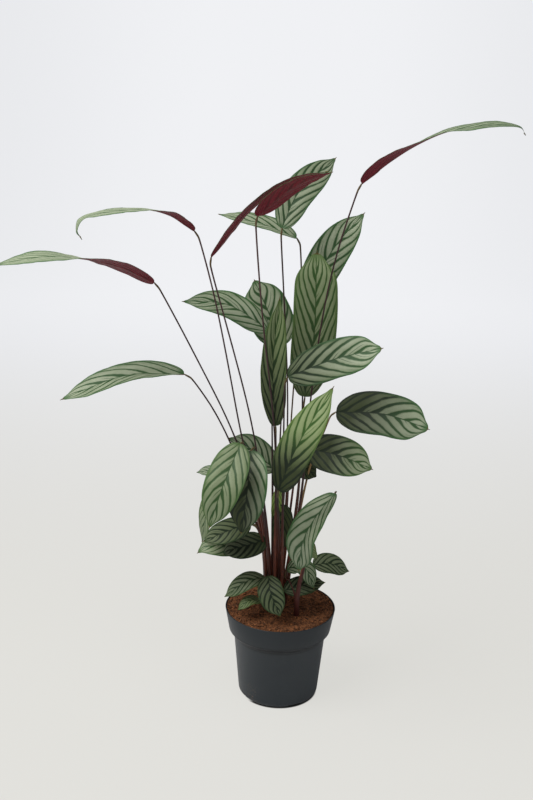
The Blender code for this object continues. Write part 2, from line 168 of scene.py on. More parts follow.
def rungs_of(shape):
    """(the middle of each rung, the rungs at the tip, the rungs at the neck)."""
    rungs = [e for e in shape.edges if abs(e.calc_length() - COARSE_THICKNESS) < THICKNESS_SLACK]
    held = [v for e in rungs for v in e.verts]
    # A slanting edge between two rungs can be as long as they are. Both its points are held twice.
    rungs = [e for e in rungs if min(held.count(v) for v in e.verts) == 1]
    middle = {e: (e.verts[0].co + e.verts[1].co) / 2 for e in rungs}
    apart = {e: min((middle[e] - middle[o]).length for o in rungs if o != e) for e in rungs}
    tip = [e for e in rungs if apart[e] < TIP_RUNGS_APART]
    neck = [e for e in rungs if TIP_RUNGS_APART < apart[e] < NECK_RUNGS_APART]
    return middle, tip, neck


def steps_from(starts, allowed=None):
    """How many edges away each point is from the nearest start."""
    steps = {point: 0 for point in starts}
    queue = list(starts)
    for point in queue:
        for edge in point.link_edges:
            other = edge.other_vert(point)
            if other not in steps and (allowed is None or other in allowed):
                steps[other] = steps[point] + 1
                queue.append(other)
    return steps


# %% Rows and columns of a blade
def turned_up(points, ups):
    """The same rows, with ups on the blade's upper side and the columns in the same order on every blade."""
    for r in range(1, ROWS):
        if ups[r].dot(ups[r - 1]) < 0:
            ups[r] = -ups[r]
    rise = sum(((points[r][1] + points[r][3]) / 2 - points[r][2]).dot(ups[r]) for r in range(2, ROWS - 2))
    if rise < 0:
        ups = [-up for up in ups]
    way = points[MIDWAY][MIDRIB] - points[MIDWAY - 1][MIDRIB]
    if (points[MIDWAY][-1] - points[MIDWAY][0]).dot(way.cross(ups[MIDWAY])) > 0:
        points = [line[::-1] for line in points]
    return points, ups


def read_blade(name):
    """(points[row][column] half-way through the blade, the upward direction of each row)."""
    skin = merged_copy("blade_" + name, "reading")
    shape = bmesh.new()
    shape.from_mesh(skin.data)
    bpy.data.objects.remove(skin)
    middle, tip, neck = rungs_of(shape)
    inner = set()
    for end in (tip, neck):
        spread = sorted(end, key=lambda e: sum((middle[e] - middle[o]).length for o in end))
        inner.update(spread[:COLUMNS - 2])
    sides = {v for e in middle if e not in inner for v in e.verts}
    corner = next(e for e in neck if e not in inner)
    side = list(steps_from(corner.verts, sides))
    row = steps_from([v for e in neck for v in e.verts])
    column = steps_from(side)
    pairs = {}
    for point in shape.verts:
        pairs.setdefault((row[point], column[point]), []).append(point.co.copy())
    shape.free()
    points = [[(pairs[r, c][0] + pairs[r, c][1]) / 2 for c in range(COLUMNS)] for r in range(ROWS)]
    ups = [(pairs[r, MIDRIB][0] - pairs[r, MIDRIB][1]).normalized() for r in range(ROWS)]
    return turned_up(points, ups)


def midrib_length(points):
    rib = [line[MIDRIB] for line in points]
    return sum((b - a).length for a, b in zip(rib, rib[1:]))


blades = {name: read_blade(name) for name in leaf_names}
for name, (points, ups) in blades.items():
    width = max((line[0] - line[-1]).length for line in points)
    print(f"{name}: {midrib_length(points) * 1000:.0f} mm long, {width * 1000:.0f} mm wide")

# %% [markdown]
# ## One flat blade
# A blade could be cut from a curve, but a plain grid bends better and keeps its pattern square. The
# grid is square and a millimetre wide: X runs from neck to tip, Y across. A cage will squeeze it into
# the leaf's outline, so all that is modelled here is relief: a groove along the midrib, and the soft
# ribs that leave it and sweep forward to the margin. Ribs and stripes follow the same rule,
# `rib_sweep`, here and in the finish. The ends of the margin are pulled in a little, which takes the
# corners off. Long leaves have more ribs than short ones, so there are three flat blades. They are
# tiny on purpose: a cage adds its points' moves to where the sheet already is, and in its outermost
# cells the two don't quite cancel, so a large sheet would be left out of place.

# %% The flat blade's rules
FLAT = 0.001  # edge of the flat square, and of the cage before it is bent
CAGE_HEIGHT = 0.02  # metres between the bent cage's lower and upper layer
MIDRIB_DEPTH = 0.0007
MIDRIB_WIDTH = 0.05  # share of the half width
RIB_RELIEF = 0.00022
RIB_LEAN = 0.30  # how far forward a rib gets by the margin, as shares of the length
RIB_SWEEP = 0.15
RIB_CURVE = 2.6
TIP_ARC, BASE_ARC = 0.065, 0.035  # how far the margin's two ends are pulled in, as shares of the length
ARC_FROM, ARC_RUN = 0.3, 0.2  # shares of the length, counted from the middle
THIN = 0.3  # thickness of the sheet beside the midrib's


def rib_sweep(across):
    """How far forward a rib is at a share of the half width."""
    return RIB_LEAN * across + RIB_SWEEP * across ** RIB_CURVE


def spread_of_rows():
    """The share of the midrib's length at which each row of the cage lies."""
    rib = [line[MIDRIB] for line in blades["right"][0]]
    travelled = [0.0]
    for a, b in zip(rib, rib[1:]):
        travelled.append(travelled[-1] + (b - a).length)
    return [t / travelled[-1] for t in travelled]


row_shares = spread_of_rows()
print("rows at", [round(share, 2) for share in row_shares])


def share_at(position):
    """Share of the midrib's length at a place between two rows, on a smooth curve through them."""
    i = min(int(position), ROWS - 2)
    t = position - i
    a, b, c, d = (row_shares[min(max(k, 0), ROWS - 1)] for k in range(i - 1, i + 3))
    return b + 0.5 * t * (c - a + t * (2 * a - 5 * b + 4 * c - d + t * (3 * (b - c) + d - a)))


# %% Modelling the flat blades
def flat_blade(name, ribs, rows, columns):
    bpy.ops.mesh.primitive_grid_add(x_subdivisions=rows, y_subdivisions=columns, size=FLAT)
    sheet = bpy.context.object
    sheet.name = name
    thick = sheet.vertex_groups.new(name="thick")  # how thick the blade becomes
    loose = sheet.vertex_groups.new(name="loose")  # how much it undulates
    for point in sheet.data.vertices:
        share = share_at((point.co.x / FLAT + 0.5) * (ROWS - 1))
        across = abs(point.co.y) / FLAT * 2
        groove = math.exp(-(across / MIDRIB_WIDTH) ** 2)
        wave = math.cos(2 * math.pi * ribs * (share - rib_sweep(across)))
        # The ribs fade out at the midrib, at the margin, at the neck and at the tip.
        fade = min(across * 6, 1) * min((1 - across) * 5, 1) * min(share * 8, 1) * min((1 - share) * 6, 1)
        point.co.z = (RIB_RELIEF * wave * fade - MIDRIB_DEPTH * groove * (1 - share)) / CAGE_HEIGHT * FLAT
        thick.add([point.index], THIN + (1 - THIN) * groove * (1 - share), "REPLACE")
        loose.add([point.index], across ** 2 * min(share * 5, 1) * min((1 - share) * 5, 1), "REPLACE")
    for point in sheet.data.vertices:
        run, off = point.co.x / FLAT, (point.co.y / FLAT * 2) ** 2
        tip_pull = TIP_ARC * max(run - ARC_FROM, 0) / ARC_RUN
        base_pull = BASE_ARC * max(-ARC_FROM - run, 0) / ARC_RUN
        point.co.x -= FLAT * off * (tip_pull - base_pull)
    for corner, place in zip(sheet.data.uv_layers[0].data, sheet.data.loops):
        point = sheet.data.vertices[place.vertex_index].co
        corner.uv = (share_at((point.x / FLAT + 0.5) * (ROWS - 1)), point.y / FLAT + 0.5)
    sheet.data.shade_smooth()
    return sheet


FLAT_BLADES = (
    # for leaves longer than, in metres; name; ribs on each side; rows and columns of the grid
    (0.24, "flat_long", 9, 126, 32),
    (0.10, "flat_middle", 5.8, 108, 32),
    (0.0, "flat_small", 5.6, 81, 24),
)
flat_blades = [(least, ribs, flat_blade(name, ribs, rows, columns))
               for least, name, ribs, rows, columns in FLAT_BLADES]
for _, ribs, sheet in flat_blades:
    print(f"{sheet.name}: {ribs} ribs a side, {len(sheet.data.polygons)} faces")

# %% [markdown]
# ## Wiring nodes
# Finishes are node networks. Writing each link by hand hides what a finish does, so this helper lets
# a network read like a sum: every call takes numbers or sockets and gives back a socket.

# %% The wiring helper
def linear(red, green, blue):
    """A colour given as it looks on a screen, 0 to 255, as the shader wants it."""
    def channel(value):
        value /= 255
        return value / 12.92 if value <= 0.04045 else ((value + 0.055) / 1.055) ** 2.4
    return (channel(red), channel(green), channel(blue), 1)


class Wiring:
    def __init__(self, tree):
        self.tree = tree

    def node(self, kind, **settings):
        made = self.tree.nodes.new("ShaderNode" + kind)
        made.location = (180 * (len(self.tree.nodes) % 12), -220 * (len(self.tree.nodes) // 12))
        for setting, value in settings.items():
            setattr(made, setting, value)
        return made

    def feed(self, socket, value):
        if isinstance(value, bpy.types.NodeSocket):
            self.tree.links.new(value, socket)
        else:
            socket.default_value = value

    def math(self, operation, *values):
        made = self.node("Math", operation=operation)
        for socket, value in zip(made.inputs, values):
            self.feed(socket, value)
        return made.outputs[0]

    def ramp(self, value, low, high, bottom=0.0, top=1.0):
        """Goes smoothly from bottom to top while value goes from low to high."""
        made = self.node("MapRange", interpolation_type="SMOOTHSTEP")
        for socket, given in zip(made.inputs, (value, low, high, bottom, top)):
            self.feed(socket, given)
        return made.outputs[0]

    def mix(self, share, first, second):
        """A blend of two colours. The Mix node keeps its colour sockets behind those for numbers."""
        made = self.node("Mix", data_type="RGBA")
        for index, given in ((0, share), (6, first), (7, second)):
            self.feed(made.inputs[index], given)
        return made.outputs[2]

    def noise(self, vector, scale, detail=2.0, rough=0.5):
        made = self.node("TexNoise")
        for name, given in (("Vector", vector), ("Scale", scale), ("Detail", detail), ("Roughness", rough)):
            self.feed(made.inputs[name], given)
        return made.outputs[0]

    def attribute(self, name):
        return self.node("Attribute", attribute_name=name).outputs["Fac"]

    def group(self, tree, **values):
        made = self.node("Group")
        made.node_tree = tree
        for name, given in values.items():
            self.feed(made.inputs[name], given)
        return made.outputs

    def place(self):
        return self.node("TexCoord").outputs["Object"]

    def place_parts(self):
        """The X, Y and Z of a place on the piece."""
        parts = self.node("SeparateXYZ")
        self.feed(parts.inputs[0], self.place())
        return parts.outputs


def new_group(name, inputs, outputs):
    """(node group, its wiring, its inputs, its output node). Inputs and outputs map names to kinds."""
    tree = bpy.data.node_groups.new(name, "ShaderNodeTree")
    for label, kind in inputs.items():
        tree.interface.new_socket(label, in_out="INPUT", socket_type="NodeSocket" + kind)
    for label, kind in outputs.items():
        tree.interface.new_socket(label, in_out="OUTPUT", socket_type="NodeSocket" + kind)
    wiring = Wiring(tree)
    return tree, wiring, tree.nodes.new("NodeGroupInput").outputs, tree.nodes.new("NodeGroupOutput")


def new_finish(name, **constants):
    """(material, its wiring, its Principled shader). Constants are the shader's plain values."""
    finish = bpy.data.materials.new(name)
    finish.use_nodes = True
    shader = finish.node_tree.nodes["Principled BSDF"]
    for label, value in constants.items():
        shader.inputs[label.replace("_", " ")].default_value = value
    return finish, Wiring(finish.node_tree), shader


def bump(wiring, shader, height, distance, strength):
    made = wiring.node("Bump")
    wiring.feed(made.inputs["Height"], height)
    wiring.feed(made.inputs["Distance"], distance)
    wiring.feed(made.inputs["Strength"], strength)
    wiring.feed(shader.inputs["Normal"], made.outputs[0])


# %% [markdown]
# ## The herringbone
# Both sides of a blade show its ribs, so the pattern is a node group that the two finishes share. The
# UV map gives the share of the length and the place across. Taking the ribs' forward sweep away from
# the length makes every rib a level line, and counting those lines gives each stripe a number. The
# number feeds a White Noise node, so each stripe has its own width. Between two stripes a short dash
# starts at the midrib and dies out, and another comes in from the margin. The relief is a swell from
# rib to rib with fine veinlets in it.

# %% The herringbone group
WANDER = 0.05  # how far the ribs stray from their rule, as a share of the length
OUT_OF_STEP = 0.2  # how far each half's stripes are moved along, as a share of a stripe
COUNT_START = 50  # keeps the count above zero

herringbone, w, given, put_out = new_group(
    "herringbone", {"Stripe": "Float", "Dash": "Float"},
    {"Stripes": "Float", "Fringe": "Float", "Across": "Float", "Along": "Float", "Relief": "Float"})
uv = w.node("SeparateXYZ")
w.feed(uv.inputs[0], w.node("UVMap").outputs[0])
along = uv.outputs[0]
sideways = w.math("MULTIPLY_ADD", uv.outputs[1], 2, -1)
across = w.math("ABSOLUTE", sideways)
side = w.math("SIGN", sideways)
seed, ribs = w.attribute("seed"), w.attribute("ribs")
curve = w.math("POWER", across, RIB_CURVE)
sweep = w.math("MULTIPLY_ADD", curve, RIB_SWEEP, w.math("MULTIPLY", across, RIB_LEAN))
wander = w.math("MULTIPLY_ADD", w.noise(w.place(), 38), WANDER, -WANDER / 2)
level = w.math("ADD", w.math("SUBTRACT", along, sweep), wander)
count = w.math("MULTIPLY_ADD", level, ribs, w.math("MULTIPLY_ADD", side, OUT_OF_STEP, COUNT_START))


def numbered(w, count, side, seed):
    """(distance from the middle of each stripe's band, three random numbers of that stripe)."""
    number = w.node("CombineXYZ")
    for socket, value in zip(number.inputs, (w.math("FLOOR", count), side, seed)):
        w.feed(socket, value)
    parts = w.node("SeparateColor")
    dice = w.node("TexWhiteNoise", noise_dimensions="3D")
    w.feed(dice.inputs[0], number.outputs[0])
    w.feed(parts.inputs[0], dice.outputs["Color"])
    off = w.math("ABSOLUTE", w.math("SUBTRACT", w.math("FRACT", count), 0.5))
    return off, parts.outputs


def band(w, off, half, soft=0.05):
    """1 within half a stripe's width of its middle, 0 outside it, with a soft border."""
    return w.ramp(w.math("SUBTRACT", off, half), soft, -soft)


# %% Main stripes
off, dice = numbered(w, count, side, seed)
near_midrib = w.ramp(across, 0.3, 0.0, 0.0, 0.65)
near_margin = w.ramp(across, 0.75, 1.0, 0.0, 0.4)
# A stripe swells at the midrib and the margin, by a share of its own, and unevenly along its way.
swell = w.math("ADD", w.math("ADD", near_midrib, near_margin), w.math("MULTIPLY_ADD", dice[0], 0.5, 0.75))
swell = w.math("ADD", swell, w.math("MULTIPLY_ADD", w.noise(w.place(), 90), 0.9, -0.45))
half = w.math("MULTIPLY", given["Stripe"], swell)
main = band(w, off, half)
w.feed(put_out.inputs["Fringe"], band(w, off, w.math("ADD", half, 0.05), 0.13))

# %% Dashes between the stripes
off, dice = numbered(w, w.math("ADD", count, 0.5), side, seed)  # half a step on, so between two stripes
# How far out from the midrib the dash reaches. It is thinner the less of its way is left.
reach = w.math("MULTIPLY_ADD", dice[1], 1.1, -0.35)
left = w.math("DIVIDE", w.math("SUBTRACT", reach, across), 0.35)
from_midrib = band(w, off, w.math("MINIMUM", w.math("MULTIPLY", left, 0.09), given["Dash"]))
from_midrib = w.math("MULTIPLY", from_midrib, w.ramp(left, 0.0, 0.25))
# The other dash comes in from the margin as far as its own random number says.
come = w.math("SUBTRACT", across, w.math("MULTIPLY_ADD", dice[2], 0.7, 0.55))
from_margin = band(w, off, w.math("MULTIPLY", given["Dash"], 0.6))
from_margin = w.math("MULTIPLY", from_margin, w.ramp(come, 0.0, 0.2))

# %% What the herringbone gives
SPINE_EDGE, SPINE_FULL = 0.04, 0.01  # the midrib's dark line, as shares of the half width
VEINLETS = 44  # seven to each stripe
VEINLET_RELIEF, QUILT_RELIEF = 0.07, 0.5

stripes = w.math("MAXIMUM", main, w.math("MAXIMUM", from_midrib, from_margin))
spine = w.ramp(across, SPINE_EDGE, SPINE_FULL)
w.feed(put_out.inputs["Stripes"], w.math("MAXIMUM", stripes, spine))
w.feed(put_out.inputs["Across"], across)
w.feed(put_out.inputs["Along"], along)
veinlets = w.math("SINE", w.math("MULTIPLY", count, VEINLETS))
quilt = w.math("COSINE", w.math("MULTIPLY", count, 2 * math.pi))
relief = w.math("MULTIPLY_ADD", veinlets, VEINLET_RELIEF, w.math("MULTIPLY", quilt, QUILT_RELIEF))
w.feed(put_out.inputs["Relief"], relief)
print("the herringbone has", len(herringbone.nodes), "nodes")

# %% [markdown]
# ## The blade's two finishes
# On top, a pale sage ground turns greener towards the margin, the tip and the neck. Dark green stripes
# lie over it, and a mid-green band follows the margin. The very tip is brown. A young leaf is yellower
# all over, and a leaf in the shade gets painted shade: darker greens and wider stripes. Underneath, the
# blade is burgundy, with the stripes only just showing through and a paler midrib.

# %% Blade colours
SAGE = linear(152, 162, 136)
SAGE_GREEN = linear(90, 114, 74)
STRIPE_GREEN = linear(50, 80, 45)
MARGIN_GREEN = linear(62, 101, 56)
TIP_BROWN = linear(92, 82, 38)
YOUNG_GROUND = linear(114, 134, 64)
YOUNG_STRIPE = linear(58, 90, 26)
# Painted shade: the greens that a leaf deep in the clump, or under a neighbour, turns to
PAINTED_SHADE_GROUND = linear(50, 60, 30)
PAINTED_SHADE_STRIPE = linear(17, 32, 12)
BURGUNDY = linear(112, 27, 40)
DARK_BURGUNDY = linear(58, 14, 20)
RIB_PINK = linear(110, 58, 52)

# %% Upper side
STRIPE, SHADED_STRIPE = 0.12, 0.06  # half a stripe's width, and how much wider it gets deep in the shade
DASH = 0.035

upper_finish, w, shader = new_finish("leaf_upper", Specular_IOR_Level=0.26)
# The depth number is painted shade: it darkens the ground, the stripes and the margin, and widens the stripes
youth, depth = w.attribute("youth"), w.attribute("depth")
pattern = w.group(herringbone, Stripe=w.math("MULTIPLY_ADD", depth, SHADED_STRIPE, STRIPE), Dash=DASH)
mottle = w.noise(w.place(), 55, 4, 0.6)
greener = w.ramp(pattern["Across"], 0.55, 1.0, 0.0, 0.6)
greener = w.math("ADD", greener, w.math("MULTIPLY_ADD", mottle, 0.7, -0.3))
greener = w.math("ADD", greener, w.math("MULTIPLY", pattern["Fringe"], 0.6))
ends = w.math("MAXIMUM", w.ramp(pattern["Along"], 0.9, 0.99), w.ramp(pattern["Along"], 0.07, 0.0))
greener = w.math("MINIMUM", w.math("MAXIMUM", greener, w.math("MULTIPLY", ends, 0.8)), 1.0)
ground = w.mix(greener, SAGE, SAGE_GREEN)
ground = w.mix(youth, ground, YOUNG_GROUND)
ground = w.mix(depth, ground, PAINTED_SHADE_GROUND)
stripe = w.mix(w.ramp(depth, 0.0, 0.8), w.mix(youth, STRIPE_GREEN, YOUNG_STRIPE), PAINTED_SHADE_STRIPE)
margin = w.mix(depth, w.mix(youth, MARGIN_GREEN, YOUNG_GROUND), PAINTED_SHADE_STRIPE)
colour = w.mix(pattern["Stripes"], ground, stripe)
edge = w.ramp(w.math("MULTIPLY_ADD", mottle, 0.08, pattern["Across"]), 0.86, 0.95)
edge = w.math("MAXIMUM", edge, ends)
colour = w.mix(w.math("MULTIPLY", edge, 0.85), colour, margin)
colour = w.mix(w.ramp(pattern["Along"], 0.975, 0.995), colour, TIP_BROWN)
w.feed(shader.inputs["Base Color"], colour)
duller = w.math("MULTIPLY_ADD", depth, 0.15, 0.4)
w.feed(shader.inputs["Roughness"], w.math("MULTIPLY_ADD", mottle, 0.14, duller))
bump(w, shader, pattern["Relief"], 0.0003, 0.8)

# %% Underside
under_finish, w, shader = new_finish("leaf_under", Specular_IOR_Level=0.2)
pattern = w.group(herringbone, Stripe=0.14, Dash=0.05)
mottle = w.noise(w.place(), 60, 4, 0.6)
darker = w.math("MULTIPLY_ADD", mottle, 0.5, -0.15)
darker = w.math("MULTIPLY_ADD", pattern["Stripes"], 0.5, darker)
colour = w.mix(darker, BURGUNDY, DARK_BURGUNDY)
colour = w.mix(w.ramp(pattern["Across"], 0.05, 0.02, 0.0, 0.6), colour, RIB_PINK)
colour = w.mix(w.ramp(pattern["Along"], 0.965, 0.985), colour, TIP_BROWN)
w.feed(shader.inputs["Base Color"], colour)
w.feed(shader.inputs["Roughness"], w.math("MULTIPLY_ADD", mottle, 0.2, 0.36))
bump(w, shader, pattern["Relief"], 0.0004, 0.8)

# %% [markdown]
# ## Young and shaded leaves
# A leaf that has just opened is yellower than an old one. Little light reaches the leaves low in the
# clump, so their colour is darkened with painted shade, and on some the painted shade is deeper at one
# end than at the other. Each leaf could have a material of its own, but a number for youth and one for
# depth in the painted shade let all share one. Depth grows from a leaf's middle by so much for each
# metre along X, Y and Z.

# %% How young and how shaded
YOUTH = {
    "bright": 0.55, "tall": 0.4, "inner_front": 0.5, "front_left": 0.25, "left_edge": 0.3, "left_low": 0.2,
    "front_tiny": 0.6, "front_small": 0.3, "front_small_left": 0.25, "small_right": 0.25,
    "small_low_right": 0.25, "small_mid": 0.1, "left_low_front": 0.25, "right_under": 0.2,
}
# How deep each leaf lies in painted shade, from 0 to 1
PAINTED_SHADE = {
    "top_back": 0.4, "right": 0.4, "right_low": 0.5, "right_under": 0.6, "front_left": 0.28,
    "front_left_dark": 0.82, "dark_low": 1, "left_low": 0.4, "left_low_front": 0.75, "bright": 0.24,
    "left_edge": 0.3, "left_back": 0.4, "inner_front": 0.5, "tall": 0.28, "small_right": 0.64,
    "small_mid": 0.4, "small_low_right": 0.7, "front_small": 0.72, "front_small_left": 0.46,
    "front_tiny": 0.4, "top_mid": 0.2, "front_right": 0.2,
}
# How fast the painted shade deepens from a leaf's middle, for each metre along X, Y and Z
PAINTED_SHADE_GROWS = {
    "front_left_dark": (-26, 0, 0), "right_low": (-9, 0, 8), "right_under": (-16, 0, 3),
    "bright": (0, 0, -13), "inner_front": (0, 0, -3), "tall": (0, 0, -2), "right": (-6, 0, 0),
    "left_low_front": (6, 0, 0), "left_low": (6, 0, 0), "deep_left": (4, 0, 0), "front_left": (2, 0, -1),
}
print(len(YOUTH), "leaves are young,", len(PAINTED_SHADE), "are shaded")

# %% [markdown]
# ## The cage
# A Lattice modifier moves a mesh with a cage of control points. The cage gets ten by five points on
# the coarse blade's own points, in two layers that stand apart along each row's upward direction. Its
# Catmull-Rom curves pass through the points, so the blade keeps the frame's size and rounds off what
# was angular. A coarse blade narrows all the way to its drip tip, but a real one has round ends. So
# the cage's last row stops short of the tip, and the rows near both ends are made wider.

# %% A cage on a coarse blade
TIP_REACH = 0.82  # share of the last row's way to the tip at which the blade ends and its thread begins
BASE_REACH = 1.1  # the neck end goes a little over its joint
TIP_WIDTH, BASE_WIDTH = 0.46, 0.48  # the end rows' widths, as shares of the rows beside them
NEAR_TIP, NEAR_BASE = 1.06, 1.14  # how much wider those rows get themselves
ROUND_ENDS = (
    # end row, row beside it, reach, width, how much wider
    (-1, -2, TIP_REACH, TIP_WIDTH, NEAR_TIP),
    (0, 1, BASE_REACH, BASE_WIDTH, NEAR_BASE),
)


def with_round_ends(points):
    """The same rows, but the last stops short of the tip, and those near both ends are wider."""
    rows = [list(line) for line in points]
    for end, beside, reach, width, wider in ROUND_ENDS:
        hub = points[beside][MIDRIB]
        middle = hub.lerp(points[end][MIDRIB], reach)
        rows[end] = [middle + (place - hub) * width for place in points[beside]]
        rows[beside] = [hub + (place - hub) * wider for place in points[beside]]
    return rows


def cage_on(points, ups):
    bpy.ops.object.add(type="LATTICE")
    cage = bpy.context.object
    cage.data.points_u, cage.data.points_v, cage.data.points_w = ROWS, COLUMNS, 2
    cage.data.interpolation_type_u = cage.data.interpolation_type_v = "KEY_CATMULL_ROM"
    cage.data.interpolation_type_w = "KEY_LINEAR"
    cage.scale = (FLAT, FLAT, FLAT)
    bpy.context.view_layer.update()
    places = [points[r][c] + ups[r] * CAGE_HEIGHT * side
              for side in (-0.5, 0.5) for c in range(COLUMNS) for r in range(ROWS)]
    for control, place in zip(cage.data.points, places):
        control.co_deform = place / FLAT
    return cage


# %% [markdown]
# ## Bending a copy onto each leaf
# The cage bends a copy of the flat blade. Then a cloud texture makes the margins undulate a few
# millimetres, each leaf in its own way, because the texture is read where the leaf is. Solidify gives
# the thin sheet its thickness downwards, thickest at the midrib, and gives the underside its own
# finish. Last, the numbers that the finishes read are stored on the points.

# %% Making the frame's blades
BLADE_THICKNESS = 0.0013  # at the midrib near the neck
UNDULATION = 0.005
UNDULATES_FULLY = 0.2  # metres; a shorter leaf undulates less
SEED_STEP = 0.37

ripple = bpy.data.textures.new("ripple", "CLOUDS")
ripple.noise_scale = 0.035


def note_for_finish(piece, name, ribs, middle):
    count = len(piece.data.vertices)
    fill_attribute(piece, "ribs", [ribs] * count)
    fill_attribute(piece, "seed", [sum(map(ord, name)) * SEED_STEP] * count)
    fill_attribute(piece, "youth", [YOUTH.get(name, 0)] * count)
    # The depth number stored here is painted shade, and on some leaves it is deeper towards one end
    grows = Vector(PAINTED_SHADE_GROWS.get(name, (0, 0, 0)))
    depth = (PAINTED_SHADE.get(name, 0) + grows.dot(v.co - middle) for v in piece.data.vertices)
    fill_attribute(piece, "depth", [min(max(value, 0), 1) for value in depth])


def bent_blade(name, points, ups):
    length = midrib_length(points)
    ribs, sheet = next((ribs, sheet) for least, ribs, sheet in flat_blades if length > least)
    piece = copy_of(sheet, "leaf_" + name)
    piece.data.materials.append(upper_finish)
    piece.data.materials.append(under_finish)
    cage = cage_on(with_round_ends(points), ups)
    apply_modifier(piece, "LATTICE", object=cage)
    bpy.data.objects.remove(cage)
    apply_modifier(piece, "DISPLACE", texture=ripple, texture_coords="LOCAL", vertex_group="loose",
                   strength=UNDULATION * min(length / UNDULATES_FULLY, 1), mid_level=0.5)
    apply_modifier(piece, "SOLIDIFY", thickness=BLADE_THICKNESS, offset=-1, vertex_group="thick",
                   thickness_vertex_group=0, material_offset=1, use_rim=True)
    note_for_finish(piece, name, ribs, points[MIDWAY][MIDRIB])
    stands_for(piece, "blade", *["blade_" + name] * (name in blades))
    return piece


leaves = {name: bent_blade(name, *blade) for name, blade in blades.items()}
print("blades have", sum(len(leaf.data.polygons) for leaf in leaves.values()), "faces")

# %% [markdown]
# ## Leaves deep in the clump
# The frame has no room for the scraps of leaf among the stalks, so five are added here. Each is a
# smaller copy of a neighbour's coarse blade, laid between a neck and a tip of its own, and is then bent
# and finished as the others are.

# %% Laying out and making the deep leaves
DEEP_LEAVES = {
    # name: (neighbour, neck, tip, where it looks, how much wider, youth, depth in painted shade)
    "deep_left": ("left_low", (-0.031, -0.035, 0.33), (-0.108, -0.075, 0.315), (0, -0.8, 0.6), 1.35, 0, 0.85),
    "deep_back": ("right_under", (0.01, 0.05, 0.455), (0.062, 0.05, 0.424), (0, -0.85, 0.5), 1.2, 0, 1),
    "deep_dark": ("right_under", (0, 0.004, 0.385), (-0.006, 0.004, 0.29), (-0.2, -1, 0.1), 0.74, 0, 1),
    "deep_young": ("front_tiny", (-0.01, 0.02, 0.41), (-0.011, 0.02, 0.338), (0.2, -1, 0.1), 0.75, 1, 0.3),
    "deep_tip": ("left_tip", (0.049, -0.062, 0.342), (0.063, -0.055, 0.303), (-0.3, -0.9, 0.2), 1.3, 0.6, 0.2),
}


def turned_to(way, look):
    """A turn whose rows run along a blade, across it, and where its upper side looks."""
    side = way.cross(look).normalized()
    return Matrix((way.normalized(), side, side.cross(way).normalized()))


def laid(neighbour, neck, tip, look, wider):
    points, ups = blades[neighbour]
    start, end = points[0][MIDRIB], points[-1][MIDRIB]
    neck, tip = Vector(neck), Vector(tip)
    old = turned_to(end - start, ups[MIDWAY - 1])
    new = turned_to(tip - neck, Vector(look)).transposed()
    size = (tip - neck).length / (end - start).length
    move = new @ Matrix.Diagonal((size, size * wider, size)) @ old
    return [[neck + move @ (p - start) for p in line] for line in points], [new @ (old @ up) for up in ups]


for name, (neighbour, neck, tip, look, wider, youth, depth) in DEEP_LEAVES.items():
    YOUTH[name], PAINTED_SHADE[name] = youth, depth
    leaves[name] = bent_blade(name, *laid(neighbour, neck, tip, look, wider))
for _, _, sheet in flat_blades:
    bpy.data.objects.remove(sheet)
print("with those deep in the clump there are", len(leaves), "leaves")

# %% [markdown]
# ## Drip tips
# A blade ends in a thread that leads the rain off it, and that soon dries to brown. It could be drawn
# out of the blade's own mesh, but the cage's last cell is too coarse for a thing so thin. A slim cone
# is enough: it starts inside the blade's end and goes on along the last row's way to the tip. The real
# threads are longer than the frame's, so they go farther where the frame's box has room. All of them
# are joined into one piece.

# %% Making the drip tips
THREAD_BACK = 0.6  # how far inside the blade's end the thread starts, as a share of its way to the tip
THREAD_OVERHANG = 0.9  # how far past the frame's tip it goes, as the same share
BOX_ROOM = 0.01  # metres from the side of the frame's box within which it doesn't
THREAD_RADII = 0.0012, 0.0004

bpy.ops.object.select_all(action="DESELECT")
threads = []
for points, ups in blades.values():
    tip = points[-1][MIDRIB]
    end = with_round_ends(points)[-1][MIDRIB]
    way = tip - end
    overhang = THREAD_OVERHANG if cad_box[0].x + BOX_ROOM < tip.x < cad_box[1].x - BOX_ROOM else 0
    start, stop = end - way * THREAD_BACK, end + way * (1 + overhang)
    bpy.ops.mesh.primitive_cone_add(vertices=10, radius1=THREAD_RADII[0], radius2=THREAD_RADII[1],
                                    depth=(stop - start).length, location=(start + stop) / 2,
                                    rotation=way.to_track_quat("Z", "Y").to_euler())
    threads.append(bpy.context.object)
for thread in threads:
    thread.select_set(True)
bpy.ops.object.join()
bpy.ops.object.transform_apply(location=True, rotation=True, scale=True)
drip_tips = bpy.context.object
drip_tips.name = "drip_tips"
thread_finish, _, _ = new_finish("thread", Base_Color=linear(88, 78, 40), Roughness=0.6,
                                 Specular_IOR_Level=0.3)
drip_tips.data.materials.append(thread_finish)
drip_tips.data.shade_smooth()
stands_for(drip_tips, "blade")
print("made", len(threads), "drip tips")

# %% [markdown]
# ## Stalks
# The coarse stalk is a six-sided tube with the right path and thickness. A curve with a bevel could
# replace it, but a copy of the tube needs no measuring: Subdivision Surface rounds it, and because
# that also draws it in, it is fattened first. Low down a sheath wraps the stalk, so there it is pushed
# out a little. The finish needs to know how far each point is from the blade, since the stalk has an
# olive joint there, so that is stored on the points.

# %% Round stalks
STALK_FATTEN = 0.00024
ROUNDING = 2  # levels of subdivision
SHEATH_FATTEN = 0.0009
SHEATH_FULL, SHEATH_END = 0.34, 0.52  # heights between which the sheath thins out
TOUCHES = 0.004  # a neck this close to a stalk is on it


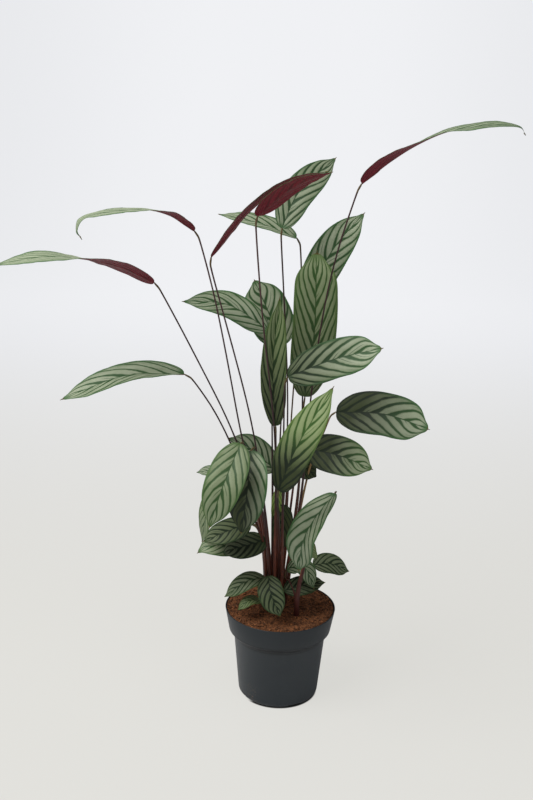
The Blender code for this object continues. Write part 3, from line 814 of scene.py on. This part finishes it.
def round_tube(node):
    tube = merged_copy(node, node + "_round")
    select_only(tube)
    bpy.ops.object.mode_set(mode="EDIT")
    bpy.ops.mesh.select_all(action="SELECT")
    bpy.ops.transform.shrink_fatten(value=STALK_FATTEN)
    bpy.ops.object.mode_set(mode="OBJECT")
    apply_modifier(tube, "SUBSURF", levels=ROUNDING, render_levels=ROUNDING)
    sheath = tube.vertex_groups.new(name="sheath")
    for point in tube.data.vertices:
        share = (SHEATH_END - point.co.z) / (SHEATH_END - SHEATH_FULL)
        sheath.add([point.index], min(max(share, 0), 1), "REPLACE")
    apply_modifier(tube, "DISPLACE", strength=SHEATH_FATTEN, mid_level=0, vertex_group="sheath")
    tube.data.shade_smooth()
    return tube


def necks_on(node):
    """The blades' necks that touch a stalk or shoot."""
    points = [v.co for v in nodes[node].data.vertices]
    necks = [rows[0][MIDRIB] for rows, ups in blades.values()]
    return [neck for neck in necks if min((point - neck).length for point in points) < TOUCHES]


def note_distance_to_blades(piece, necks):
    distances = [min((v.co - neck).length for neck in necks) for v in piece.data.vertices]
    fill_attribute(piece, "to_blade", distances)


# %% [markdown]
# ## Stalk finish
# A stalk is dark purple-brown and smooth, and greyer towards the top. Low down it is wrapped in a
# sheath, redder and streaked, that turns brown where it leaves the soil. The last two centimetres under
# the blade are the joint, which is olive. Three stalks are paler than the rest, the shoots are redder,
# and each stalk is darkened by a random amount of its own. Those are numbers on the points, so that
# one material serves for all.

# %% Stalk finish
STALK_BROWN = linear(52, 30, 30)
STALK_MAUVE = linear(96, 70, 68)
STALK_OLIVE = linear(128, 104, 66)
STALK_RED = linear(130, 66, 40)
STALK_DARK = linear(30, 13, 11)
STALK_FOOT = linear(92, 50, 38)
JOINT_OLIVE = linear(92, 78, 46)
SHOOT_BROWN = linear(68, 29, 25)
JOINT_LENGTH = 0.019
FOOT_TOP, FOOT_FULL = 0.215, 0.18  # heights between which the foot's brown sets in
GREY_FROM, GREY_FULL = 0.75, 1.2
STREAK_STRETCH = 0.06

stalk_finish, w, shader = new_finish("stalk", Roughness=0.5, Specular_IOR_Level=0.3)
height = w.place_parts()[2]
stretch = w.node("Mapping")
w.feed(stretch.inputs["Vector"], w.place())
stretch.inputs["Scale"].default_value = (1, 1, STREAK_STRETCH)
streaks = w.noise(stretch.outputs[0], 700, 3)
patches = w.noise(w.place(), 26, 3)
red = w.ramp(w.math("MULTIPLY_ADD", patches, 0.16, height), SHEATH_END, SHEATH_FULL)
greyer = w.ramp(w.math("MULTIPLY_ADD", patches, 0.5, height), GREY_FROM, GREY_FULL, 0.0, 0.45)
colour = w.mix(greyer, STALK_BROWN, STALK_MAUVE)
colour = w.mix(w.attribute("pale"), colour, STALK_OLIVE)
colour = w.mix(w.math("MULTIPLY", red, 0.8), colour, STALK_RED)
colour = w.mix(w.ramp(height, FOOT_TOP, FOOT_FULL, 0.0, 0.8), colour, STALK_FOOT)
streaked = w.math("MULTIPLY", w.ramp(streaks, 0.42, 0.66), w.math("MULTIPLY_ADD", red, 0.6, 0.12))
colour = w.mix(streaked, colour, STALK_BROWN)
colour = w.mix(w.math("MULTIPLY", w.attribute("dark"), 0.75), colour, STALK_DARK)
colour = w.mix(w.math("MULTIPLY", w.attribute("shoot"), 0.75), colour, SHOOT_BROWN)
joint = w.ramp(w.attribute("to_blade"), JOINT_LENGTH + 0.003, JOINT_LENGTH - 0.004)
colour = w.mix(w.math("MULTIPLY", joint, 0.75), colour, JOINT_OLIVE)
w.feed(shader.inputs["Base Color"], colour)
bump(w, shader, streaked, 0.0003, 0.5)

# %% [markdown]
# ## Making the stalks and shoots
# A stalk is one tube, but a shoot forks, and Subdivision Surface would pinch its forks. So a shoot is
# remeshed into small even faces and smoothed instead.

# %% The frame's stalks and shoots
SHOOT_GRAIN = 0.0006
PALE_STALKS = {"stalk_right_low": 1, "stalk_top_left": 0.7, "stalk_right_under": 0.1}

dice = random.Random(5)
made_stalks = []
for node in sorted(nodes):
    if node.startswith("stalk_"):
        piece = round_tube(node)
    elif node.endswith("_shoot"):
        piece = merged_copy(node, node + "_round")
        apply_modifier(piece, "REMESH", mode="VOXEL", voxel_size=SHOOT_GRAIN, use_smooth_shade=True)
        apply_modifier(piece, "SMOOTH", factor=0.5, iterations=6)
    else:
        continue
    note_distance_to_blades(piece, necks_on(node))
    fill_attribute(piece, "pale", [PALE_STALKS.get(node, 0)] * len(piece.data.vertices))
    fill_attribute(piece, "dark", [dice.random() ** 1.3] * len(piece.data.vertices))
    fill_attribute(piece, "shoot", [float(node.endswith("_shoot"))] * len(piece.data.vertices))
    piece.data.materials.append(stalk_finish)
    stands_for(piece, "stalk", node)
    made_stalks.append(piece)
print("made", len(made_stalks), "stalks and shoots")

# %% [markdown]
# ## Stalks of the deep leaves
# The leaves deep in the clump have no stalk in the frame to copy. Each gets a curve of two points, from
# a foot in the soil to its neck, with a round bevel for its thickness, and the curve becomes a mesh.
# They don't get all the numbers that the finish reads. One that a piece lacks counts as nought.

# %% Thin stalks
THIN_STALK_RADIUS = 0.0013
NECK_LEAN = 0.3  # how much the curve leans towards the neck where it ends; it leaves its foot upright
DEEP_FEET = {
    "deep_left": (-0.031, -0.013, 0.175), "deep_back": (0.006, 0.026, 0.175),
    "deep_dark": (0.004, 0.004, 0.175), "deep_young": (-0.011, 0.008, 0.175),
    "deep_tip": (0.0305, -0.0415, 0.22),
}


def thin_stalk(name, foot, neck):
    bpy.ops.curve.primitive_bezier_curve_add()
    stalk = bpy.context.object
    stalk.name = name
    start, end = stalk.data.splines[0].bezier_points
    for point, place, lean in ((start, foot, 0), (end, neck, NECK_LEAN)):
        point.co = place
        rise = Vector(((neck[0] - foot[0]) * lean, (neck[1] - foot[1]) * lean, (neck[2] - foot[2]) / 3))
        point.handle_left_type = point.handle_right_type = "FREE"
        point.handle_left, point.handle_right = point.co - rise, point.co + rise
    stalk.location = (0, 0, 0)
    stalk.data.bevel_depth, stalk.data.bevel_resolution = THIN_STALK_RADIUS, 3
    stalk.data.use_fill_caps = True
    bpy.ops.object.convert(target="MESH")
    return stalk


for name, foot in DEEP_FEET.items():
    neck = DEEP_LEAVES[name][1]
    piece = thin_stalk("stalk_" + name, foot, neck)
    note_distance_to_blades(piece, [Vector(neck)])
    piece.data.materials.append(stalk_finish)
    stands_for(piece, "stalk")
print("made", len(DEEP_FEET), "thin stalks")

# %% [markdown]
# ## Soil
# The soil fills the pot to just under the rim. A copy of the coarse fill is remeshed into small even
# faces. Its top is pushed up a little where it meets the wall, and two cloud textures heap it into
# lumps and crumbs. The textures fade out at the wall, so that the soil stays inside the pot.

# %% Heaping the soil
SOIL_GRAIN = 0.0016
TOP_LAYER, TOP_FADE = 0.007, 0.003  # how deep the heaped layer goes, and over how much it fades in
WALL_CLEAR, WALL_FADE = 0.0005, 0.002  # nothing is heaped this close to the wall, and little beside it
EDGE_HEAP, EDGE_HEAP_FROM, EDGE_HEAP_RUN = 0.0028, 0.076, 0.012  # how high, from which radius, over how much
HEAPS = (("lumps", 0.015, 0.0065), ("crumbs", 0.0055, 0.0042))  # name, size, height

soil = merged_copy("soil", "potting_mix")
_, soil_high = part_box("soil")
apply_modifier(soil, "REMESH", mode="VOXEL", voxel_size=SOIL_GRAIN, use_smooth_shade=True)
top = soil.vertex_groups.new(name="top")
for point in soil.data.vertices:
    weight = (point.co.z - (soil_high.z - TOP_LAYER)) / TOP_FADE
    if weight > 0:
        rim_room = min(max((soil_high.x - WALL_CLEAR - point.co.xy.length) / WALL_FADE, 0), 1)
        top.add([point.index], min(weight, 1) * rim_room, "REPLACE")
for point in soil.data.vertices:
    if point.co.z > soil_high.z - TOP_LAYER:
        heap = min(max((point.co.xy.length - EDGE_HEAP_FROM) / EDGE_HEAP_RUN, 0), 1)
        point.co.z += EDGE_HEAP * heap
for name, size, lift in HEAPS:
    texture = bpy.data.textures.new(name, "CLOUDS")
    texture.noise_scale = size
    texture.noise_depth = 2
    apply_modifier(soil, "DISPLACE", texture=texture, texture_coords="LOCAL", direction="Z",
                   vertex_group="top", strength=lift, mid_level=0.62)
print("soil has", len(soil.data.polygons), "faces")

# %% [markdown]
# ## Crumbs and chips
# Loose bits lie on the peat and lean on the wall. Crumbs and chips are the same small ball, knocked out
# of shape by different scales. A ray straight down finds the height at which each rests. All are
# joined into one piece, and each corner keeps a random number, by which the finish colours it.

# %% Scattering loose bits
CRUMBS = 1300
BALL_CORNERS = 12
SMALLEST_BIT, BIT_RANGE = 0.0007, 0.0030  # radius, and how much larger the largest are
WALL_GAP = 0.0012
RAY_START = 0.5  # metres up, above the soil

dice = random.Random(11)
bpy.context.view_layer.update()
soil_surface = BVHTree.FromObject(soil, bpy.context.evaluated_depsgraph_get())


def rest_height(x, y):
    return soil_surface.ray_cast(Vector((x, y, RAY_START)), Vector((0, 0, -1)))[0].z


def somewhere():
    """A place on the soil. One bit in three lies against the wall."""
    radius = (soil_high.x - WALL_GAP) * max(math.sqrt(dice.random()), dice.choice((0, 0, 0.97)))
    angle = dice.uniform(0, 2 * math.pi)
    return radius * math.cos(angle), radius * math.sin(angle)


bpy.ops.mesh.primitive_ico_sphere_add(subdivisions=1, radius=1, location=(0, 0, 0))
ball = bpy.context.object
crumbs = []
for _ in range(CRUMBS):
    crumb = ball.copy()
    bpy.context.scene.collection.objects.link(crumb)
    x, y = somewhere()
    size = SMALLEST_BIT + BIT_RANGE * dice.random() ** 4  # so most are small
    crumb.scale = [size * dice.uniform(0.6, 1.5) for _ in "xy"] + [size * dice.uniform(0.4, 1.0)]
    crumb.rotation_euler = [dice.uniform(-0.5, 0.5), dice.uniform(-0.5, 0.5), dice.uniform(0, 6.3)]
    crumb.location = (x, y, rest_height(x, y) + size * 0.3)
    crumbs.append(crumb)
bpy.ops.object.select_all(action="DESELECT")
for crumb in [ball] + crumbs:
    crumb.select_set(True)
bpy.ops.object.make_single_user(object=True, obdata=True)
bpy.data.objects.remove(ball)
bpy.context.view_layer.objects.active = crumbs[0]
bpy.ops.object.join()
bpy.ops.object.transform_apply(location=True, rotation=True, scale=True)
loose_bits = bpy.context.object
loose_bits.name = "loose_bits"
fill_attribute(loose_bits, "bit", [dice.random() for _ in range(CRUMBS) for _ in range(BALL_CORNERS)])
print("loose bits have", len(loose_bits.data.polygons), "faces")

# %% [markdown]
# ## Soil finish
# Potting mix is reddish-brown peat with darker and lighter bits. Soft Voronoi cells give each bit its
# own colour, and two noises add dark patches and grime. The loose bits take theirs from the random
# numbers they were given.

# %% Soil finish
PEAT = linear(100, 66, 44)
PEAT_RED = linear(150, 96, 60)
PEAT_DARK = linear(36, 24, 17)
BARK_ORANGE = linear(186, 122, 74)
BITS_PER_METRE = 420


def soil_bits(w, scale):
    """(three random numbers of each bit, distance from its middle)."""
    cells = w.node("TexVoronoi", feature="SMOOTH_F1")
    w.feed(cells.inputs["Smoothness"], 0.5)
    w.feed(cells.inputs["Vector"], w.place())
    w.feed(cells.inputs["Scale"], scale)
    parts = w.node("SeparateColor")
    w.feed(parts.inputs[0], cells.outputs["Color"])
    return parts.outputs, cells.outputs["Distance"]


soil_finish, w, shader = new_finish("potting_mix", Roughness=0.95, Specular_IOR_Level=0.15)
parts, apart = soil_bits(w, BITS_PER_METRE)
grime = w.noise(w.place(), 900, 3, 0.7)
patches = w.noise(w.place(), 90, 3)
redder = w.math("MULTIPLY_ADD", patches, 0.5, -0.2)
colour = w.mix(w.math("MULTIPLY_ADD", parts[0], 0.7, redder), PEAT, PEAT_RED)
colour = w.mix(w.ramp(parts[1], 0.75, 0.95, 0.0, 0.6), colour, BARK_ORANGE)
colour = w.mix(w.ramp(parts[2], 0.65, 0.85, 0.0, 0.85), colour, PEAT_DARK)
colour = w.mix(w.ramp(patches, 0.52, 0.68, 0.0, 0.7), colour, PEAT_DARK)
colour = w.mix(w.ramp(grime, 0.45, 0.7, 0.0, 0.5), colour, PEAT_DARK)
w.feed(shader.inputs["Base Color"], colour)
bump(w, shader, w.math("SUBTRACT", grime, apart), 0.001, 0.8)
soil.data.materials.append(soil_finish)
stands_for(soil, "soil", "soil")

# %% Finish of the loose bits
bits_finish, w, shader = new_finish("potting_bits", Roughness=0.9, Specular_IOR_Level=0.2)
bit = w.attribute("bit")
colour = w.mix(w.ramp(bit, 0.06, 0.25), PEAT_DARK, PEAT)
colour = w.mix(w.ramp(bit, 0.5, 0.8), colour, PEAT_RED)
colour = w.mix(w.ramp(bit, 0.88, 0.97), colour, BARK_ORANGE)
colour = w.mix(w.ramp(w.noise(w.place(), 1100, 2), 0.4, 0.7, 0, 0.5), colour, PEAT_DARK)
w.feed(shader.inputs["Base Color"], colour)
loose_bits.data.materials.append(bits_finish)
stands_for(loose_bits, "soil")

# %% [markdown]
# ## Pot
# A nursery pot is blown or moulded from thin plastic. It is turned here as on a lathe: a disc is
# extruded and scaled ring by ring along the outer wall, over the rim and down the inside. Short rings
# round its corners, and four slots with bevelled corners are cut through its foot for the water.

# %% Turning the pot
_, pot_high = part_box("pot")
RIM_RADIUS = pot_high.x
POT_HEIGHT = pot_high.z
BAND_HEIGHT = 0.043  # of the rim band
SHOULDER = 0.012  # height of the slope under the band
BAND_RADIUS = 0.0975  # at the band's lower edge
BODY_RADIUS = 0.0875  # just under the shoulder
BASE_RADIUS = 0.077
FOOT = 0.010  # how far the foot is drawn in and up
WALL = 0.0018
PAD_RADIUS = 0.030  # the pad in the middle of the underside
RECESS = 0.0014  # how far the ring around the pad stands above the ground
STANDING_EDGE = 0.014  # width of the edge that the pot stands on
FLOOR = 0.0026  # thickness of the bottom
TURNS = 160  # corners all round


def arc(centre, radius, start, end, steps):
    """Points of an arc in the profile, from one angle to another in degrees."""
    angles = [math.radians(start + (end - start) * k / steps) for k in range(steps + 1)]
    return [(centre[0] + radius * math.cos(a), centre[1] + radius * math.sin(a)) for a in angles]


band_foot = POT_HEIGHT - BAND_HEIGHT
body_top = band_foot - SHOULDER
profile = [(PAD_RADIUS, 0), (PAD_RADIUS + 0.002, RECESS), (BASE_RADIUS - STANDING_EDGE - 0.002, RECESS),
           (BASE_RADIUS - STANDING_EDGE, 0)]
profile += arc((BASE_RADIUS - FOOT, FOOT), FOOT, -90, 0, 8)
profile += [(BODY_RADIUS, body_top), (BODY_RADIUS + 0.0006, body_top + 0.001),
            (BODY_RADIUS + 0.003, band_foot - SHOULDER / 2), (BAND_RADIUS - 0.002, band_foot - 0.002),
            (BAND_RADIUS - 0.0005, band_foot - 0.0005), (BAND_RADIUS, band_foot + 0.001)]
profile += arc((RIM_RADIUS - WALL / 2, POT_HEIGHT - WALL / 2), WALL / 2, 0, 180, 8)
profile += [(BAND_RADIUS - WALL, band_foot), (BODY_RADIUS - WALL, body_top + 0.002)]
profile += [(BASE_RADIUS - WALL, FLOOR + FOOT),
            (BASE_RADIUS - WALL - FOOT * 0.3, FLOOR + RECESS + FOOT * 0.3),
            (BASE_RADIUS - WALL - FOOT, FLOOR + RECESS)]

(radius, height), *rings = profile
bpy.ops.mesh.primitive_circle_add(vertices=TURNS, radius=radius, fill_type="NGON", location=(0, 0, height))
pot = bpy.context.object
pot.name = "nursery_pot"
bpy.ops.object.transform_apply(location=True)
bpy.ops.object.mode_set(mode="EDIT")
bpy.ops.mesh.select_all(action="SELECT")
for next_radius, next_height in rings:
    bpy.ops.mesh.extrude_region_move(TRANSFORM_OT_translate={"value": (0, 0, next_height - height)})
    bpy.ops.transform.resize(value=(next_radius / radius, next_radius / radius, 1),
                             center_override=(0, 0, next_height))
    radius, height = next_radius, next_height
bpy.ops.mesh.select_all(action="SELECT")
bpy.ops.mesh.normals_make_consistent(inside=False)
bpy.ops.object.mode_set(mode="OBJECT")

# %% Cutting the drain slots
DRAIN_ANGLES = (25, 115, 205, 295)
CUTTER = (0.026, 0.027, 0.012)  # inwards, along the wall and up; half of its height is under the pot
CUTTER_RADIUS = BASE_RADIUS - 0.005
for angle in DRAIN_ANGLES:
    bpy.ops.mesh.primitive_cube_add(size=1, location=(0, 0, 0))
    slot = bpy.context.object
    slot.scale = CUTTER
    bpy.ops.object.transform_apply(scale=True)
    apply_modifier(slot, "BEVEL", width=0.003, segments=3)
    turned = math.radians(angle)
    slot.location = (math.cos(turned) * CUTTER_RADIUS, math.sin(turned) * CUTTER_RADIUS, 0)
    slot.rotation_euler = (0, 0, turned)
    bpy.context.view_layer.update()
    apply_modifier(pot, "BOOLEAN", operation="DIFFERENCE", object=slot)
    bpy.data.objects.remove(slot)
select_only(pot)
bpy.ops.object.shade_smooth_by_angle(angle=math.radians(35))
print("pot has", len(pot.data.polygons), "faces")

# %% [markdown]
# ## Pot finish
# The plastic is dark grey with a satin skin. Handling leaves faint scuffs, and watering leaves a brown
# dust low on the wall, on one side. The rim band faces a little downwards and is darkened a little with
# painted shade, and the shoulder under it, which the band overhangs, has the darkest painted shade.

# %% Pot finish
PLASTIC = linear(38, 44, 48)
PLASTIC_WORN = linear(50, 56, 59)
# Painted shade for the shoulder under the band and for the band itself
PAINTED_POT_SHADE = linear(14, 17, 19)
DUST = linear(112, 96, 80)
DUST_TOP, DUST_FULL = 0.05, 0.01  # heights between which the dust sets in
DUST_SIDE = -0.05  # it sets in between the middle and here

pot_finish, w, shader = new_finish("pot_plastic", Specular_IOR_Level=0.3)
sideways, _, height = w.place_parts()
clouds = w.noise(w.place(), 14, 4, 0.6)
specks = w.noise(w.place(), 260, 2, 0.6)
colour = w.mix(w.ramp(clouds, 0.4, 0.75, 0.0, 0.35), PLASTIC, PLASTIC_WORN)
# Painted shade: darkest on the shoulder under the band's overhang, and a little on the band above it
from_shoulder = w.math("ABSOLUTE", w.math("SUBTRACT", height, band_foot - SHOULDER / 2))
colour = w.mix(w.ramp(from_shoulder, SHOULDER, SHOULDER * 0.3, 0.0, 0.9), colour, PAINTED_POT_SHADE)
colour = w.mix(w.ramp(height, band_foot - 0.002, band_foot + 0.004, 0.0, 0.3), colour, PAINTED_POT_SHADE)
dusty = w.math("MULTIPLY", w.ramp(height, DUST_TOP, DUST_FULL), w.ramp(clouds, 0.42, 0.55))
dusty = w.math("MULTIPLY", dusty, w.ramp(sideways, 0.0, DUST_SIDE))
dusty = w.math("MULTIPLY", dusty, w.ramp(specks, 0.48, 0.7))
colour = w.mix(w.math("MULTIPLY", dusty, 0.6), colour, DUST)
w.feed(shader.inputs["Base Color"], colour)
duller = w.math("MULTIPLY_ADD", dusty, 0.2, 0.34)
w.feed(shader.inputs["Roughness"], w.math("MULTIPLY_ADD", clouds, 0.2, duller))
bump(w, shader, specks, 0.00015, 0.3)
pot.data.materials.append(pot_finish)
stands_for(pot, "pot", "pot")

# %% [markdown]
# ## Stage
# The plant stands on a pale seamless sweep, whose wall is far behind, so that the plant can be seen
# from all round. In a studio much light falls on the paper that never reaches the plant. More lamps
# could give it, but they would light the plant too. So for the camera's rays alone, most of the
# paper's brightness is its own, and the rest comes from the lamps and shows the pot's faint shadow.
# Under the pot's foot the paper has no brightness of its own, so the drain slots look dark. Only
# through the slot on the left does bright paper show.

# %% The sweep
SWEEP_SIZE = 16  # metres
SWEEP_FRONT = 5  # how much of it lies in front of the plant
FLOOR_END = 4.0
SWEEP_TURN = 1.5  # radius of the turn from floor to wall

bpy.ops.mesh.primitive_grid_add(x_subdivisions=2, y_subdivisions=64, size=1)
sweep = bpy.context.object
sweep.name = "sweep"
for point in sweep.data.vertices:
    run = (point.co.y + 0.5) * SWEEP_SIZE - SWEEP_FRONT
    turn = min(max(run - FLOOR_END, 0) / SWEEP_TURN, math.pi / 2)
    rise = max(run - FLOOR_END - SWEEP_TURN * math.pi / 2, 0)
    back = min(run, FLOOR_END) + SWEEP_TURN * math.sin(turn)
    point.co = (point.co.x * SWEEP_SIZE, back, SWEEP_TURN * (1 - math.cos(turn)) + rise)
sweep.data.shade_smooth()

# %% Paper
PAPER = linear(228, 228, 227)
PAPER_SEEN = linear(85, 85, 84)  # what the camera sees lit by the lamps, beside the paper's own light
PAPER_NEAR, PAPER_FAR = linear(229, 228, 223), linear(228, 229, 232)  # the wall's light is a little cooler
COOL_FULL = 3.0  # metres behind the plant
GLOW_NEAR, GLOW_FAR = 0.84, 1.07  # strength of the paper's own light
GLOW_FROM, GLOW_FULL = 0.4, 3.8  # metres behind the plant between which it grows
GLOW_SIDE = 0.93  # share of it far to the left and right
SIDE_FROM, SIDE_FULL = 0.4, 2.0  # metres from the middle between which it sinks to that
FOOT_DARK, FOOT_LIT = 0.0035, 0.0005  # how far inside the pot's foot the paper is dark, and is lit again
SLOT_FROM, SLOT_FULL = -0.045, -0.06  # metres along X at which it is lit under the left slot

paper_finish, w, shader = new_finish("paper", Roughness=0.9, Specular_IOR_Level=0.1)
seen = w.node("LightPath").outputs["Is Camera Ray"]
w.feed(shader.inputs["Base Color"], w.mix(seen, PAPER, PAPER_SEEN))
from_middle = w.node("VectorMath", operation="LENGTH")
w.feed(from_middle.inputs[0], w.place())
sideways, back, _ = w.place_parts()
w.feed(shader.inputs["Emission Color"], w.mix(w.ramp(back, 0.0, COOL_FULL), PAPER_NEAR, PAPER_FAR))
glow = w.ramp(back, GLOW_FROM, GLOW_FULL, GLOW_NEAR, GLOW_FAR)
aside = w.ramp(w.math("ABSOLUTE", sideways), SIDE_FROM, SIDE_FULL, 1.0, GLOW_SIDE)
glow = w.math("MULTIPLY", glow, aside)
outside = w.ramp(from_middle.outputs["Value"], BASE_RADIUS - FOOT_DARK, BASE_RADIUS - FOOT_LIT)
lit_slot = w.ramp(sideways, SLOT_FROM, SLOT_FULL)
glow = w.math("MULTIPLY", glow, w.math("MAXIMUM", outside, lit_slot))
w.feed(shader.inputs["Emission Strength"], w.math("MULTIPLY", seen, glow))
sweep.data.materials.append(paper_finish)

# %% [markdown]
# ## Light
# A big soft light hangs over the plant to the left and a little in front, and a weak one fills the
# right. So leaves that look up are bright, and those that look at the camera are darker. The room
# itself gives a little light from all sides. Past the paper's edge the camera sees it in the paper's
# colour.

# %% Lights
AIM = (0, 0, 0.6)  # the middle of the plant
LAMP_SIZE = 2.0
ROOM_LIGHT = 0.28


def softbox(name, place, power, colour):
    bpy.ops.object.light_add(type="AREA", location=place)
    lamp = bpy.context.object
    lamp.name = name
    lamp.data.size = LAMP_SIZE
    lamp.data.energy = power
    lamp.data.color = colour
    lamp.rotation_euler = (Vector(AIM) - Vector(place)).to_track_quat("-Z", "Y").to_euler()
    print(name, "gives", power, "watts")


softbox("window", (-1.4, -0.9, 3.1), 108, (1.0, 0.99, 0.97))
softbox("fill", (2.4, -1.6, 1.6), 10, (0.96, 0.98, 1.0))
world = bpy.data.worlds.new("room")
bpy.context.scene.world = world
world.use_nodes = True
w = Wiring(world.node_tree)
seen = w.node("LightPath").outputs["Is Camera Ray"]
sky = world.node_tree.nodes["Background"]
w.feed(sky.inputs["Color"], w.mix(seen, linear(244, 246, 250), PAPER))
w.feed(sky.inputs["Strength"], w.math("MULTIPLY_ADD", seen, 1 - ROOM_LIGHT, ROOM_LIGHT))
